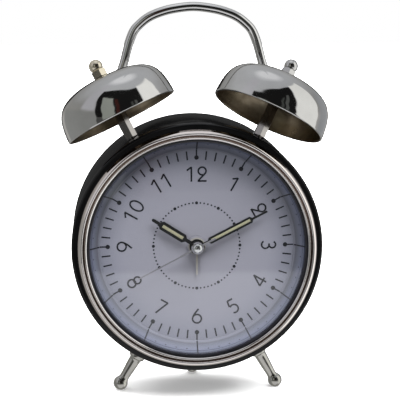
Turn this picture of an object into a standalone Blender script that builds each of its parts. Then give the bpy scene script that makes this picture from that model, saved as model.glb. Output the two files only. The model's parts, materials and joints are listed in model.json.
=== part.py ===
"""Twin-bell quartz alarm clock: one named object for each piece.

Units are metres, +Z is up and the dial faces -Y. The origin is at the bottom centre of the
clock's box, on the surface that the three feet stand on. Heights marked "forward" are measured
from the dial's front face towards the viewer.
"""

import math

import bmesh
import bpy
from mathutils import Matrix, Vector

MM = 0.001
GAP = 0.3 * MM                      # clearance between pieces that touch

# Driving dimensions
AXIS_HEIGHT = 64.8 * MM             # dial axis above the table
DIAL_Y = -15.1 * MM                 # front face of the dial
CASE_RADIUS = 52.7 * MM
CASE_WALL = 0.8 * MM
CASE_FRONT = 6.6 * MM               # forward height of the drum's front lip
CASE_BACK = -37.5 * MM              # forward height of the drum's rear rim
SHOULDER_RADIUS = 1.4 * MM
BEZEL_OUTER = 50.2 * MM
BEZEL_INNER = 46.2 * MM
LENS_RADIUS = 44.8 * MM
LENS_WALL = 1.5 * MM
LENS_TOP = 12.6 * MM                # forward height of the glass dome
LENS_EDGE = 8.8 * MM
DIAL_RADIUS = 46.5 * MM
HOUR_ANGLE = -57.8                  # hands, clockwise from twelve, in degrees
MINUTE_ANGLE = 63.0
SECOND_ANGLE = 242.5
ALARM_ANGLE = 180.0

BELL_RADIUS = 24.8 * MM
BELL_HEIGHT = 19.2 * MM
BELL_WALL = 1.2 * MM
BELL_LIFT = 9.4 * MM                # rim above the drum, along the post
BELL_Y = 5.0 * MM                   # post behind the dial's front face
BELL_STATION = 30.4                 # where the post leaves the drum, degrees from the top
BELL_TILT = 26.7                    # outward tilt of the post
BELL_LEAN = {"left": 10.0, "right": 14.9}      # backward lean of each post
SIDES = {"left": -1, "right": 1}

HANDLE_RADIUS = 2.05 * MM
HANDLE_X = 0.9 * MM                 # the handle sits a little off centre
HANDLE_Y = 33.8 * MM                # foot of the handle behind the dial's front face
HANDLE_SET = 1.6 * MM               # the hoop stands this much further back, clear of the bells

FOOT_STATION = {"left": 26.6, "right": 29.2}   # degrees from the bottom
FOOT_SPLAY = {"left": 31.4, "right": 29.3}     # outward tilt of each leg
FOOT_Y = 10.0 * MM
REAR_FOOT_Y = 33.3 * MM
REAR_FOOT_LEAN = 15.0                # backward tilt of the rear leg
FOOT_BALL = 3.1 * MM
FOOT_COLLAR = 3.5 * MM

COVER_FRONT = -38.3 * MM            # forward heights of the back cover's two faces
COVER_BACK = -40.3 * MM
COVER_RADIUS = 52.2 * MM            # flange against the drum's rear rim
COVER_DISH = 50.0 * MM              # raised middle of the cover
BOSS_CIRCLE = 44.0 * MM             # screw bosses of the inner frame
BOSS_ANGLES = (0, 120, 240)         # clockwise from twelve

MOVEMENT_HALF = 27.5 * MM           # half the width of the square movement
MOVEMENT_WALL = 1.3 * MM
MOVEMENT_FRONT = -0.9 * MM
MOVEMENT_JOINT = -16.0 * MM         # where the movement's two halves meet
MOVEMENT_BACK = -17.8 * MM

# Wheel stations inside the movement, as (x, z) from the dial axis
TIME_SHAFT = (15.2 * MM, 0.0)
MINUTE_SHAFT = (7.6 * MM, 0.0)
ALARM_SHAFT = (-12.0 * MM, 0.0)
THIRD_SHAFT = (0.0, 10.8 * MM)
IDLER_SHAFT = (0.0, -9.0 * MM)
ROTOR_SHAFT = (7.58 * MM, -13.37 * MM)

# Concentric tubes of the hands, as (bore, outside) radii
SECOND_ARBOR = 0.65 * MM
MINUTE_TUBE = (0.95 * MM, 1.45 * MM)
HOUR_TUBE = (1.75 * MM, 2.2 * MM)
ALARM_TUBE = (2.5 * MM, 3.0 * MM)
NECK = (3.3 * MM, 4.3 * MM)

TRAY = ((-30.5 * MM, -36.2 * MM), (30.5 * MM, -14.8 * MM))      # battery tray, lower and upper x, z
DOOR = ((-28.6 * MM, -34.6 * MM), (28.6 * MM, -16.4 * MM))
DOOR_THICK = 1.5 * MM
BATTERY_RADIUS = 7.1 * MM
BATTERY_Z = -25.5 * MM
BATTERY_FORWARD = -29.2 * MM
SWITCH_Z = 27.0 * MM
SWITCH_TRAVEL = 5.0 * MM

FINISHES = {                        # colour, roughness, metallic
    "black_paint": ((0.008, 0.008, 0.010, 1), 0.12, 0.0),
    "chrome": ((0.60, 0.59, 0.58, 1), 0.10, 1.0),
    "brass": ((0.62, 0.55, 0.40, 1), 0.25, 1.0),
    "glass": ((0.95, 0.97, 1.00, 1), 0.02, 0.0),
    "rubber": ((0.015, 0.015, 0.018, 1), 0.60, 0.0),
    "dial_paper": ((0.46, 0.46, 0.56, 1), 0.60, 0.0),
    "grey_plastic": ((0.30, 0.31, 0.36, 1), 0.40, 0.0),
    "black_plastic": ((0.020, 0.020, 0.022, 1), 0.45, 0.0),
    "white_plastic": ((0.75, 0.75, 0.72, 1), 0.45, 0.0),
    "hand_paint": ((0.012, 0.012, 0.012, 1), 0.35, 0.0),
    "lume": ((0.62, 0.62, 0.42, 1), 0.70, 0.0),
    "silver": ((0.50, 0.50, 0.52, 1), 0.30, 1.0),
    "steel": ((0.45, 0.45, 0.46, 1), 0.35, 1.0),
    "copper": ((0.72, 0.32, 0.14, 1), 0.35, 1.0),
    "board_green": ((0.03, 0.16, 0.07, 1), 0.50, 0.0),
    "battery_jacket": ((0.03, 0.06, 0.16, 1), 0.35, 0.0),
}

for old in list(bpy.data.objects):
    bpy.data.objects.remove(old, do_unlink=True)
PARTS = bpy.data.collections.new("alarm_clock")
CUTTERS = bpy.data.collections.new("cutters")
for group in (PARTS, CUTTERS):
    bpy.context.scene.collection.children.link(group)
CUTTERS.hide_render = True


# Placing

def forward_frame(x=0.0, z=0.0, forward=0.0, clockwise=0.0):
    """Local +Z points at the viewer and local +Y at twelve; (x, z) is from the dial axis."""
    place = Matrix.Translation((x, DIAL_Y - forward, AXIS_HEIGHT + z))
    facing = Matrix.Rotation(math.pi / 2, 4, "X")
    return place @ facing @ Matrix.Rotation(-math.radians(clockwise), 4, "Z")


def boss_frame(degrees):
    """The frame of one screw boss, on its circle about the dial axis."""
    return forward_frame(clockwise=degrees) @ Matrix.Translation((0, BOSS_CIRCLE, 0))


def on_drum(degrees, behind, radius=CASE_RADIUS):
    """A point on the drum, clockwise from twelve as the viewer sees it."""
    angle = math.radians(degrees)
    return Vector((radius * math.sin(angle), DIAL_Y + behind, AXIS_HEIGHT + radius * math.cos(angle)))


def aimed(point, direction):
    """Local +Z along the direction, with the origin at the point."""
    return Matrix.Translation(point) @ direction.to_track_quat("Z", "Y").to_matrix().to_4x4()


def tilted(outward, lean, side, up=1):
    """Unit vector tilted outward from the vertical to one side, and leaning back."""
    outward, lean = math.radians(outward), math.radians(lean)
    flat = math.cos(lean)
    return Vector((side * math.sin(outward) * flat, math.sin(lean), up * math.cos(outward) * flat))


# Making

def add(name, mesh, finish, matrix=None):
    """Puts a mesh in the clock's collection under its node name, with a material of its own."""
    colour, roughness, metallic = FINISHES[finish]
    skin = bpy.data.materials.new(name + "_" + finish)
    skin.use_nodes = True
    shader = skin.node_tree.nodes["Principled BSDF"]
    shader.inputs["Base Color"].default_value = colour
    shader.inputs["Roughness"].default_value = roughness
    shader.inputs["Metallic"].default_value = metallic
    piece = bpy.data.objects.new(name, mesh)
    piece.matrix_world = matrix or Matrix.Identity(4)
    mesh.materials.clear()
    mesh.materials.append(skin)
    PARTS.objects.link(piece)
    return piece


def cutter(name, mesh, matrix=None):
    """A hidden helper for a Boolean."""
    helper = bpy.data.objects.new("cut_" + name, mesh)
    helper.matrix_world = matrix or Matrix.Identity(4)
    helper.hide_render = True
    helper.display_type = "WIRE"
    CUTTERS.objects.link(helper)
    return helper


def combine(piece, helper, operation="DIFFERENCE"):
    """Cuts the helper from the piece, or joins the two."""
    step = piece.modifiers.new(helper.name, "BOOLEAN")
    step.operation = operation
    step.object = helper
    step.solver = "EXACT"


def spin(piece, segments):
    """Turns the profile in the XZ plane about local Z."""
    screw = piece.modifiers.new("Turn", "SCREW")
    screw.axis = "Z"
    screw.angle = 2 * math.pi
    screw.steps = screw.render_steps = segments
    screw.use_merge_vertices = True
    screw.merge_threshold = 0.00001
    screw.use_smooth_shade = True
    return piece


def profile_mesh(name, points, ring):
    """Edges through (radius, height) points; a ring's profile closes on itself."""
    count = len(points)
    edges = [(i, (i + 1) % count) for i in range(count if ring else count - 1)]
    mesh = bpy.data.meshes.new(name)
    mesh.from_pydata([(radius, 0, height) for radius, height in points], edges, [])
    return mesh


def turned(name, points, finish, matrix, segments=48, ring=False):
    """A turned piece; its profile runs down the outer side, top to bottom."""
    return spin(add(name, profile_mesh(name, points, ring), finish, matrix), segments)


def turned_cutter(name, points, matrix, segments=24):
    return spin(cutter(name, profile_mesh(name, points, False), matrix), segments)


def rod_profile(radius, low, high):
    return [(0, high), (radius, high), (radius, low), (0, low)]


def tube_profile(bore, outside, low, high):
    return [(outside, high), (outside, low), (bore, low), (bore, high)]


def prism_mesh(name, outline, low, high):
    """A flat outline in the local XY plane, raised from low to high."""
    shape = bmesh.new()
    base = shape.faces.new([shape.verts.new((x, y, low)) for x, y in outline])
    raised = bmesh.ops.extrude_face_region(shape, geom=[base])["geom"]
    tops = [item for item in raised if isinstance(item, bmesh.types.BMVert)]
    bmesh.ops.translate(shape, vec=(0, 0, high - low), verts=tops)
    bmesh.ops.recalc_face_normals(shape, faces=shape.faces)
    mesh = bpy.data.meshes.new(name)
    shape.to_mesh(mesh)
    shape.free()
    return mesh


def box_mesh(name, low, high):
    """A box between two corners."""
    shape = bmesh.new()
    bmesh.ops.create_cube(shape, size=1)
    for vert in shape.verts:
        vert.co = [low[i] + (vert.co[i] + 0.5) * (high[i] - low[i]) for i in range(3)]
    mesh = bpy.data.meshes.new(name)
    shape.to_mesh(mesh)
    shape.free()
    return mesh


def polygon(count, radius, phase=0.0):
    turns = [phase + 2 * math.pi * i / count for i in range(count)]
    return [(radius * math.cos(turn), radius * math.sin(turn)) for turn in turns]


def gear_outline(teeth, pitch_radius, depth):
    """A toothed outline that stays just inside its pitch circle, so that mates run clear."""
    points = []
    for i in range(2 * teeth):
        radius = pitch_radius - GAP / 2 - (depth if i % 2 else 0)
        angle = math.pi * i / teeth
        points.append((radius * math.cos(angle), radius * math.sin(angle)))
    return points


def arc(centre, radius, start, stop, steps):
    """Points along an arc, by angle in degrees."""
    turns = [math.radians(start + (stop - start) * i / steps) for i in range(steps + 1)]
    return [(centre[0] + radius * math.cos(t), centre[1] + radius * math.sin(t)) for t in turns]


def wire_mesh(name, path, radius, sides=8):
    """A closed rod of round section along the path, with welded caps."""
    curve = bpy.data.curves.new(name, "CURVE")
    curve.dimensions = "3D"
    curve.bevel_depth = radius
    curve.bevel_resolution = (sides - 4) // 2
    curve.use_fill_caps = True
    spline = curve.splines.new("POLY")
    spline.points.add(len(path) - 1)
    for point, place in zip(spline.points, path):
        point.co = (*place, 1)
    guide = bpy.data.objects.new(name + "_guide", curve)
    CUTTERS.objects.link(guide)
    bpy.context.view_layer.update()
    mesh = bpy.data.meshes.new_from_object(guide.evaluated_get(bpy.context.evaluated_depsgraph_get()))
    bpy.data.objects.remove(guide)
    shape = bmesh.new()
    shape.from_mesh(mesh)
    bmesh.ops.remove_doubles(shape, verts=shape.verts, dist=0.00001)
    bmesh.ops.recalc_face_normals(shape, faces=shape.faces)
    shape.to_mesh(mesh)
    shape.free()
    mesh.shade_smooth()
    return mesh


# Case

def case_drum():
    """The painted drum: a rolled front shoulder that ends in a lip under the bezel, and an open back."""
    corner = (CASE_RADIUS - SHOULDER_RADIUS, CASE_FRONT - SHOULDER_RADIUS)
    outer = arc(corner, SHOULDER_RADIUS, 90, 0, 3)
    inner = arc(corner, SHOULDER_RADIUS - CASE_WALL, 0, 90, 2)
    lip = BEZEL_INNER + 0.8 * MM
    roll = 0.3 * MM
    points = [(lip, CASE_FRONT)] + outer + [
        (CASE_RADIUS, CASE_BACK + roll), (CASE_RADIUS - roll, CASE_BACK),
        (CASE_RADIUS - CASE_WALL, CASE_BACK)] + inner + [(lip, CASE_FRONT - CASE_WALL)]
    drum = turned("case_drum", points, "black_paint", forward_frame(), 52, ring=True)
    holes = [("post_" + side, 1.7 * MM, aimed(bell_base(side), bell_axis(side))) for side in SIDES]
    for side, end, above in handle_ends():
        holes.append(("handle_" + side, HANDLE_RADIUS + 0.4 * MM, aimed((end + above) / 2, above - end)))
    for name, base, direction in foot_places():
        holes.append(("stud_" + name, 1.8 * MM, aimed(base, direction)))
    half = 5 * MM
    for name, radius, place in holes:
        combine(drum, turned_cutter(name + "_hole", rod_profile(radius, -half, half), place, 16))


def front_bezel():
    """Two beads with a groove between them; heights are above the ring's flat back."""
    back = CASE_FRONT + GAP
    section = [(BEZEL_OUTER - 0.9 * MM, 4.0 * MM), (BEZEL_OUTER, 2.9 * MM), (BEZEL_OUTER, 0),
               (BEZEL_INNER, 0), (BEZEL_INNER, 2.6 * MM), (BEZEL_INNER + 0.6 * MM, 3.3 * MM),
               (BEZEL_INNER + 1.4 * MM, 2.6 * MM), (BEZEL_OUTER - 1.9 * MM, 3.4 * MM)]
    turned("front_bezel", [(radius, back + height) for radius, height in section], "chrome",
           forward_frame(), 52, ring=True)


def lens():
    """A domed glass with a skirt that stands on the drum's lip."""
    sag = LENS_TOP - LENS_EDGE
    curve_radius = (LENS_RADIUS ** 2 + sag ** 2) / (2 * sag)
    inner = LENS_RADIUS - 1.2 * MM
    rings = 4
    outside, inside = [], []
    for i in range(rings + 1):
        for points, edge, drop in ((outside, LENS_RADIUS, 0), (inside, inner, LENS_WALL)):
            radius = edge * i / rings
            height = LENS_TOP - drop - curve_radius + math.sqrt(curve_radius ** 2 - radius ** 2)
            points.append((radius, height))
    skirt = CASE_FRONT + GAP
    points = outside + [(LENS_RADIUS, skirt), (inner, skirt)] + inside[::-1]
    turned("lens", points, "glass", forward_frame(), 36)


def lens_gasket():
    section = tube_profile(LENS_RADIUS + 0.25 * MM, BEZEL_INNER - 0.2 * MM,
                           CASE_FRONT + GAP, CASE_FRONT + 2.6 * MM)
    turned("lens_gasket", section, "rubber", forward_frame(), 40, ring=True)


def dial():
    turned("dial", tube_profile(NECK[1] + 0.4 * MM, DIAL_RADIUS, -0.6 * MM, 0), "dial_paper",
           forward_frame(), 40, ring=True)


def dial_ring():
    """The sloping ring between the dial's edge and the glass."""
    outside = LENS_RADIUS - GAP
    top = CASE_FRONT
    points = [(outside, top), (outside, GAP), (41.0 * MM, GAP), (41.0 * MM, 0.7 * MM),
              (outside - 0.6 * MM, top)]
    turned("dial_ring", points, "grey_plastic", forward_frame(), 40, ring=True)


def inner_frame():
    """A ring behind the dial with three bosses that take the back cover's screws."""
    frame = turned("inner_frame", tube_profile(40.5 * MM, 48.0 * MM, -2.4 * MM, -0.9 * MM),
                   "white_plastic", forward_frame(), 36, ring=True)
    for angle in BOSS_ANGLES:
        solid = rod_profile(3.2 * MM, COVER_FRONT + GAP, -1.5 * MM)
        bore = rod_profile(1.2 * MM, COVER_FRONT - 2 * MM, COVER_FRONT + 9 * MM)
        combine(frame, turned_cutter("boss_%d" % angle, solid, boss_frame(angle), 12), "UNION")
        combine(frame, turned_cutter("boss_bore_%d" % angle, bore, boss_frame(angle), 12))


def back_cover():
    """A dished disc: the flange meets the drum's rear rim and the middle stands out behind it."""
    rim, wall = CASE_BACK - GAP, COVER_FRONT - COVER_BACK
    points = [(0, COVER_FRONT), (COVER_DISH - wall, COVER_FRONT), (COVER_DISH - wall, rim),
              (COVER_RADIUS, rim), (COVER_RADIUS, rim - 1.2 * MM), (COVER_DISH, rim - 1.2 * MM),
              (COVER_DISH - 0.8 * MM, COVER_BACK), (0, COVER_BACK)]
    cover = turned("back_cover", points, "black_plastic", forward_frame(), 44)
    over = 2 * MM
    through = COVER_BACK - over, COVER_FRONT + over
    for name, (x, z) in (("time", TIME_SHAFT), ("alarm", ALARM_SHAFT)):
        combine(cover, turned_cutter("cover_hole_" + name, rod_profile(1.9 * MM, *through),
                                     forward_frame(x, z), 16))
    for angle in BOSS_ANGLES:
        combine(cover, turned_cutter("cover_screw_%d" % angle, rod_profile(1.5 * MM, *through),
                                     boss_frame(angle), 12))
    (x0, z0), (x1, z1) = DOOR
    margin = 0.4 * MM
    opening = box_mesh("cut_door", (x0 - margin, z0 - margin, through[0]),
                       (x1 + margin, z1 + margin, through[1]))
    combine(cover, cutter("door_opening", opening, forward_frame()))
    slot_half = SWITCH_TRAVEL / 2 + 2.3 * MM
    slot = box_mesh("cut_slot", (-slot_half, SWITCH_Z - 1.8 * MM, through[0]),
                    (slot_half, SWITCH_Z + 1.8 * MM, through[1]))
    combine(cover, cutter("switch_slot", slot, forward_frame()))
    for i in range(4):
        x = 18 * MM + i * 4 * MM
        vent = box_mesh("cut_vent", (x - 0.8 * MM, 18 * MM, through[0]), (x + 0.8 * MM, 30 * MM, through[1]))
        combine(cover, cutter("vent_%d" % i, vent, forward_frame()))


def cover_screws():
    head = COVER_BACK - GAP
    for i, angle in enumerate(BOSS_ANGLES):
        points = [(0, head + 9 * MM), (0.9 * MM, head + 9 * MM), (0.9 * MM, head), (2.6 * MM, head),
                  (2.2 * MM, head - 1.0 * MM), (0, head - 1.5 * MM)]
        turned("cover_screw_%d" % (i + 1), points, "steel", boss_frame(angle), 12)


# Bells, handle and feet

def bell_axis(side):
    return tilted(BELL_TILT, BELL_LEAN[side], SIDES[side])


def bell_base(side):
    return on_drum(SIDES[side] * BELL_STATION, BELL_Y)


def bell_profile(wall):
    """Outside of the bell, crown first, and the inside drawn in by the wall."""
    outside = [(0, 1.0), (0.26, 0.97), (0.51, 0.93), (0.71, 0.84), (0.85, 0.72), (0.93, 0.58),
               (0.985, 0.33), (1.0, 0.0)]
    hole = 1.65 * MM
    shell = [(max(r * BELL_RADIUS, hole), h * BELL_HEIGHT) for r, h in outside]
    inside = []
    for r, h in outside:
        inside.append((max(r * (BELL_RADIUS - wall), hole), max(h * BELL_HEIGHT - wall * (h > 0.1), 0)))
    return shell + inside[::-1]


def bells():
    for side in SIDES:
        place = aimed(bell_base(side) + bell_axis(side) * BELL_LIFT, bell_axis(side))
        turned("bell_" + side, bell_profile(BELL_WALL), "chrome", place, 36, ring=True)


def locknut(name, across, bore, low, high, place, sides=12):
    """A hexagonal nut with a clear bore."""
    nut = add(name, prism_mesh(name, polygon(6, across), low, high), "steel", place)
    combine(nut, turned_cutter(name + "_bore", rod_profile(bore, low - MM, high + MM), place, sides))


def bell_fittings():
    """The hexagonal post under each bell, its nut inside the drum and the ball nut on the crown."""
    crown = BELL_LIFT + BELL_HEIGHT
    hexagon = 2.7 * MM
    for side in SIDES:
        place = aimed(bell_base(side), bell_axis(side))
        stud = turned("bell_post_" + side, rod_profile(1.3 * MM, -4.2 * MM, crown + 2.6 * MM), "chrome",
                      place, 12)
        sleeve = prism_mesh("sleeve", polygon(6, hexagon), 0.9 * MM, crown - BELL_WALL - GAP)
        combine(stud, cutter("post_sleeve_" + side, sleeve, place), "UNION")
        locknut("bell_post_nut_" + side, 2.9 * MM, 1.6 * MM, -4.0 * MM, -2.0 * MM, place)
        base = crown + GAP
        ball = base + 4.7 * MM
        round_end = arc((0, ball), 3.0 * MM, 65, -48, 5)
        points = [(0, ball + 3.0 * MM)] + round_end + [(1.9 * MM, base + 1.5 * MM), (0, base + 1.5 * MM)]
        finish = "brass" if side == "left" else "chrome"
        cap = turned("bell_cap_nut_" + side, points, finish, place, 14)
        body = prism_mesh("cap_body", polygon(6, 3.3 * MM), base, base + 2.6 * MM)
        combine(cap, cutter("cap_body_" + side, body, place), "UNION")
        bore = rod_profile(1.6 * MM, crown - MM, crown + 3.2 * MM)
        combine(cap, turned_cutter("cap_bore_" + side, bore, place, 12))


def handle_points():
    """Centreline of the handle from the left end inside the drum, over the top, to the right end."""
    half = [(0, 99.3), (9.0, 98.3), (15.2, 96.6), (19.6, 94.6), (23.0, 92.0), (25.6, 89.2), (27.3, 85.6),
            (28.6, 81.4), (30.2, 75.4), (31.6, 71.0), (33.0, 65.5), (33.6, 60.0), (33.1, 54.0),
            (31.4, 49.0), (29.0, 44.4), (26.6, 40.2)]
    foot, shoulder = half[-1][1], 54.0
    points = []
    for sign, run in ((-1, half[:0:-1]), (1, half)):
        for x, z in run:
            rise = min((z - foot) / (shoulder - foot), 1)
            back = HANDLE_Y + HANDLE_SET * rise
            points.append(Vector((HANDLE_X + sign * x * MM, DIAL_Y + back, AXIS_HEIGHT + z * MM)))
    return points


def handle_ends():
    """(side, end point inside the drum, the next point above it)."""
    points = handle_points()
    return [("left", points[0], points[1]), ("right", points[-1], points[-2])]


def handle():
    add("handle", wire_mesh("handle", handle_points(), HANDLE_RADIUS), "chrome")
    for side, end, above in handle_ends():
        locknut("handle_nut_" + side, 3.6 * MM, 2.4 * MM, 0.5 * MM, 2.3 * MM, aimed(end, above - end), 16)


def foot_places():
    """(name, point on the drum, direction) of each foot."""
    places = [("rear", on_drum(180, REAR_FOOT_Y), tilted(0, REAR_FOOT_LEAN, 1, up=-1))]
    for side, sign in SIDES.items():
        base = on_drum(sign * (180 - FOOT_STATION[side]), FOOT_Y)
        places.append((side, base, tilted(FOOT_SPLAY[side], 0, sign, up=-1)))
    return places


def feet():
    """Tapered legs with a collar at the drum and a ball end that is flat where it stands."""
    table = cutter("table", box_mesh("cut_table", (-0.1, -0.1, -0.02), (0.1, 0.1, 0)))
    for name, base, direction in foot_places():
        splay = direction.angle(Vector((0, 0, -1)))
        reach = (base.z - FOOT_BALL + 0.2 * MM) / math.cos(splay)
        neck = reach - FOOT_BALL * 0.85
        points = [(0, reach + FOOT_BALL)] + arc((0, reach), FOOT_BALL, 60, -42, 4)
        radial = Vector((base.x, 0, base.z - AXIS_HEIGHT))
        slant = FOOT_COLLAR * math.tan(direction.angle(radial))
        seat, nut_top = 0.4 * MM + slant, -1.2 * MM - slant
        end = nut_top - 2.2 * MM
        points += [(2.05 * MM, neck - 0.6 * MM), (2.65 * MM, 4.6 * MM), (FOOT_COLLAR, 3.8 * MM),
                   (FOOT_COLLAR, seat), (1.4 * MM, seat), (1.4 * MM, end), (0, end)]
        place = aimed(base, direction)
        combine(turned("foot_" + name, points, "chrome", place, 16), table)
        locknut("foot_nut_" + name, 3.0 * MM, 1.7 * MM, nut_top - 1.8 * MM, nut_top, place)


# Hands

def spear_outline(hub, neck, belly, tip, start, stop, length):
    """A hand's outline: narrow neck, wide body with pointed shoulders, narrow tip with a round end."""
    slope = belly - neck
    right = [(neck, hub), (neck, start), (belly, start + slope), (belly, stop - slope), (tip, stop)]
    half = right + arc((0, length - tip), tip, 0, 45, 1) + [(0, length)]
    return half + [(-x, y) for x, y in half[-2::-1]]


def hand(name, outline, hub_radius, bore, low, thick, finish, angle):
    """A flat hand on a round hub, with its bore on the dial axis."""
    place = forward_frame(clockwise=angle)
    blade = add(name, prism_mesh(name, outline, low, low + thick), finish, place)
    hub = rod_profile(hub_radius, low - 0.05 * MM, low + thick + 0.05 * MM)
    combine(blade, turned_cutter(name + "_hub", hub, place, 24), "UNION")
    combine(blade, turned_cutter(name + "_bore", rod_profile(bore, low - MM, low + thick + MM), place, 24))
    return blade


def lume_strip(name, hand_piece, half_width, start, stop, low, thick, angle):
    """The luminous filling in a window that goes right through the hand."""
    place = forward_frame(clockwise=angle)
    grow = GAP / 2
    window = box_mesh("window", (-half_width - grow, start - grow, low - MM),
                      (half_width + grow, stop + grow, low + thick + MM))
    combine(hand_piece, cutter(name + "_window", window, place))
    add(name, box_mesh(name, (-half_width, start, low), (half_width, stop, low + thick)), "lume", place)


def hands():
    """Four hands on their concentric tubes, from the alarm hand up to the second hand."""
    slide = 0.1 * MM
    alarm = spear_outline(0, 0.35 * MM, 0.40 * MM, 0.35 * MM, 5 * MM, 9 * MM, 12.3 * MM)
    hand("alarm_hand", alarm, ALARM_TUBE[1] + 0.9 * MM, ALARM_TUBE[1] + slide, 0.9 * MM, 0.4 * MM,
         "silver", ALARM_ANGLE)
    hour = spear_outline(0, 0.75 * MM, 1.9 * MM, 0.70 * MM, 5.5 * MM, 18.6 * MM, 22.3 * MM)
    level, thick = 2.2 * MM, 0.5 * MM
    blade = hand("hour_hand", hour, 3.2 * MM, HOUR_TUBE[1] + slide, level, thick, "hand_paint", HOUR_ANGLE)
    lume_strip("hour_hand_lume", blade, 0.8 * MM, 7.0 * MM, 17.0 * MM, level, thick, HOUR_ANGLE)
    minute = spear_outline(0, 0.55 * MM, 1.45 * MM, 0.45 * MM, 5.2 * MM, 26.2 * MM, 33.1 * MM)
    level = 3.7 * MM
    blade = hand("minute_hand", minute, 2.6 * MM, MINUTE_TUBE[1] + slide, level, thick, "hand_paint",
                 MINUTE_ANGLE)
    lume_strip("minute_hand_lume", blade, 0.6 * MM, 6.8 * MM, 24.9 * MM, level, thick, MINUTE_ANGLE)
    second = spear_outline(-8.5 * MM, 0.40 * MM, 0.45 * MM, 0.28 * MM, 4 * MM, 8 * MM, 28.0 * MM)
    hand("second_hand", second, 1.8 * MM, SECOND_ARBOR + slide, 5.2 * MM, 0.35 * MM, "silver", SECOND_ANGLE)
    cap = [(0, 8.3 * MM), (1.2 * MM, 8.0 * MM), (2.1 * MM, 7.3 * MM), (2.6 * MM, 6.4 * MM),
           (2.6 * MM, 5.9 * MM), (0, 5.9 * MM)]
    turned("second_hand_cap", cap, "chrome", forward_frame(), 24)


# Movement

def wheel(name, station, finish, discs, arbor, bore=None, sides=16):
    """A wheel on its arbor or tube: discs are (teeth, pitch radius, tooth depth, low, high)."""
    place = forward_frame(*station)
    radius, low, high = arbor
    body = turned(name, rod_profile(radius, low, high), finish, place, sides)
    for i, (teeth, pitch, depth, bottom, top) in enumerate(discs):
        mesh = prism_mesh(name + "_disc", gear_outline(teeth, pitch, depth), bottom, top)
        combine(body, cutter("%s_disc_%d" % (name, i), mesh, place), "UNION")
    if bore:
        combine(body, turned_cutter(name + "_bore", rod_profile(bore, low - MM, high + MM), place, sides))
    return body


def layer(index):
    """Low and high forward heights of one storey of wheels inside the movement."""
    high = -3.0 * MM - index * 1.35 * MM
    return high - 0.75 * MM, high


def gear_train():
    fine, coarse = 0.45 * MM, 0.35 * MM
    wheel("alarm_wheel", (0, 0), "white_plastic", [(32, 8.0 * MM, fine, *layer(0))],
          (ALARM_TUBE[1], layer(0)[0], 1.6 * MM), ALARM_TUBE[0])
    wheel("hour_wheel", (0, 0), "white_plastic", [(32, 6.08 * MM, fine, *layer(1))],
          (HOUR_TUBE[1], layer(1)[0], 3.0 * MM), HOUR_TUBE[0])
    wheel("cannon_pinion", (0, 0), "steel", [(8, 2.1 * MM, coarse, *layer(2))],
          (MINUTE_TUBE[1], layer(2)[0], 4.5 * MM), MINUTE_TUBE[0])
    wheel("minute_wheel", MINUTE_SHAFT, "white_plastic",
          [(24, 5.5 * MM, fine, *layer(2)), (8, 1.52 * MM, coarse, *layer(1))],
          (0.8 * MM, layer(2)[0] - 0.2 * MM, layer(1)[1] + 0.15 * MM))
    wheel("centre_wheel", (0, 0), "white_plastic", [(45, 9.53 * MM, fine, *layer(3))],
          (1.6 * MM, layer(3)[0] - 0.2 * MM, layer(3)[1] + 0.15 * MM), SECOND_ARBOR + GAP)
    wheel("third_wheel", THIRD_SHAFT, "white_plastic",
          [(48, 9.6 * MM, fine, *layer(4)), (6, 1.27 * MM, coarse, *layer(3))],
          (0.6 * MM, layer(4)[0] - 0.2 * MM, layer(3)[1] + 0.15 * MM))
    wheel("seconds_wheel", (0, 0), "white_plastic",
          [(30, 7.5 * MM, fine, *layer(5)), (6, 1.2 * MM, coarse, *layer(4))],
          (SECOND_ARBOR, layer(5)[0] - 0.2 * MM, 5.7 * MM), sides=12)
    wheel("intermediate_wheel", IDLER_SHAFT, "white_plastic",
          [(36, 7.5 * MM, fine, *layer(6)), (6, 1.5 * MM, coarse, *layer(5))],
          (0.6 * MM, layer(6)[0] - 0.2 * MM, layer(5)[1] + 0.15 * MM))
    magnet = layer(7)
    wheel("rotor", ROTOR_SHAFT, "steel", [(6, 1.25 * MM, coarse, *layer(6))],
          (0.5 * MM, magnet[0] - MM, layer(6)[1] + 0.15 * MM), sides=12)
    disc = turned_cutter("rotor_magnet", rod_profile(2.5 * MM, magnet[0] - 0.6 * MM, magnet[1]),
                         forward_frame(*ROTOR_SHAFT), 20)
    combine(bpy.data.objects["rotor"], disc, "UNION")


def movement_case():
    """A square shell with a neck round the hands' tubes, and the plate that closes its back."""
    half, wall = MOVEMENT_HALF, MOVEMENT_WALL
    corner = 3 * MM
    outline = []
    for turn, (across, along) in enumerate(((1, 1), (-1, 1), (-1, -1), (1, -1))):
        centre = (across * (half - corner), along * (half - corner))
        outline += arc(centre, corner, 90 * turn, 90 * turn + 90, 3)
    shrink = (half - wall) / half
    inner = [(x * shrink, y * shrink) for x, y in outline]
    front = add("movement_front", prism_mesh("movement_front", outline, MOVEMENT_JOINT, MOVEMENT_FRONT),
                "white_plastic", forward_frame())
    hollow = prism_mesh("hollow", inner, MOVEMENT_JOINT - MM, MOVEMENT_FRONT - wall)
    combine(front, cutter("movement_hollow", hollow, forward_frame()))
    neck = rod_profile(NECK[1], MOVEMENT_FRONT - 0.5 * MM, 0.4 * MM)
    combine(front, turned_cutter("movement_neck", neck, forward_frame(), 24), "UNION")
    combine(front, turned_cutter("neck_bore", rod_profile(NECK[0], -3 * MM, 2 * MM), forward_frame(), 24))
    rear = add("movement_rear", prism_mesh("movement_rear", outline, MOVEMENT_BACK, MOVEMENT_JOINT - GAP),
               "white_plastic", forward_frame())
    for name, (x, z) in (("time", TIME_SHAFT), ("alarm", ALARM_SHAFT)):
        hole = rod_profile(1.6 * MM, MOVEMENT_BACK - MM, MOVEMENT_JOINT + MM)
        combine(rear, turned_cutter("rear_hole_" + name, hole, forward_frame(x, z), 16))


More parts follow.
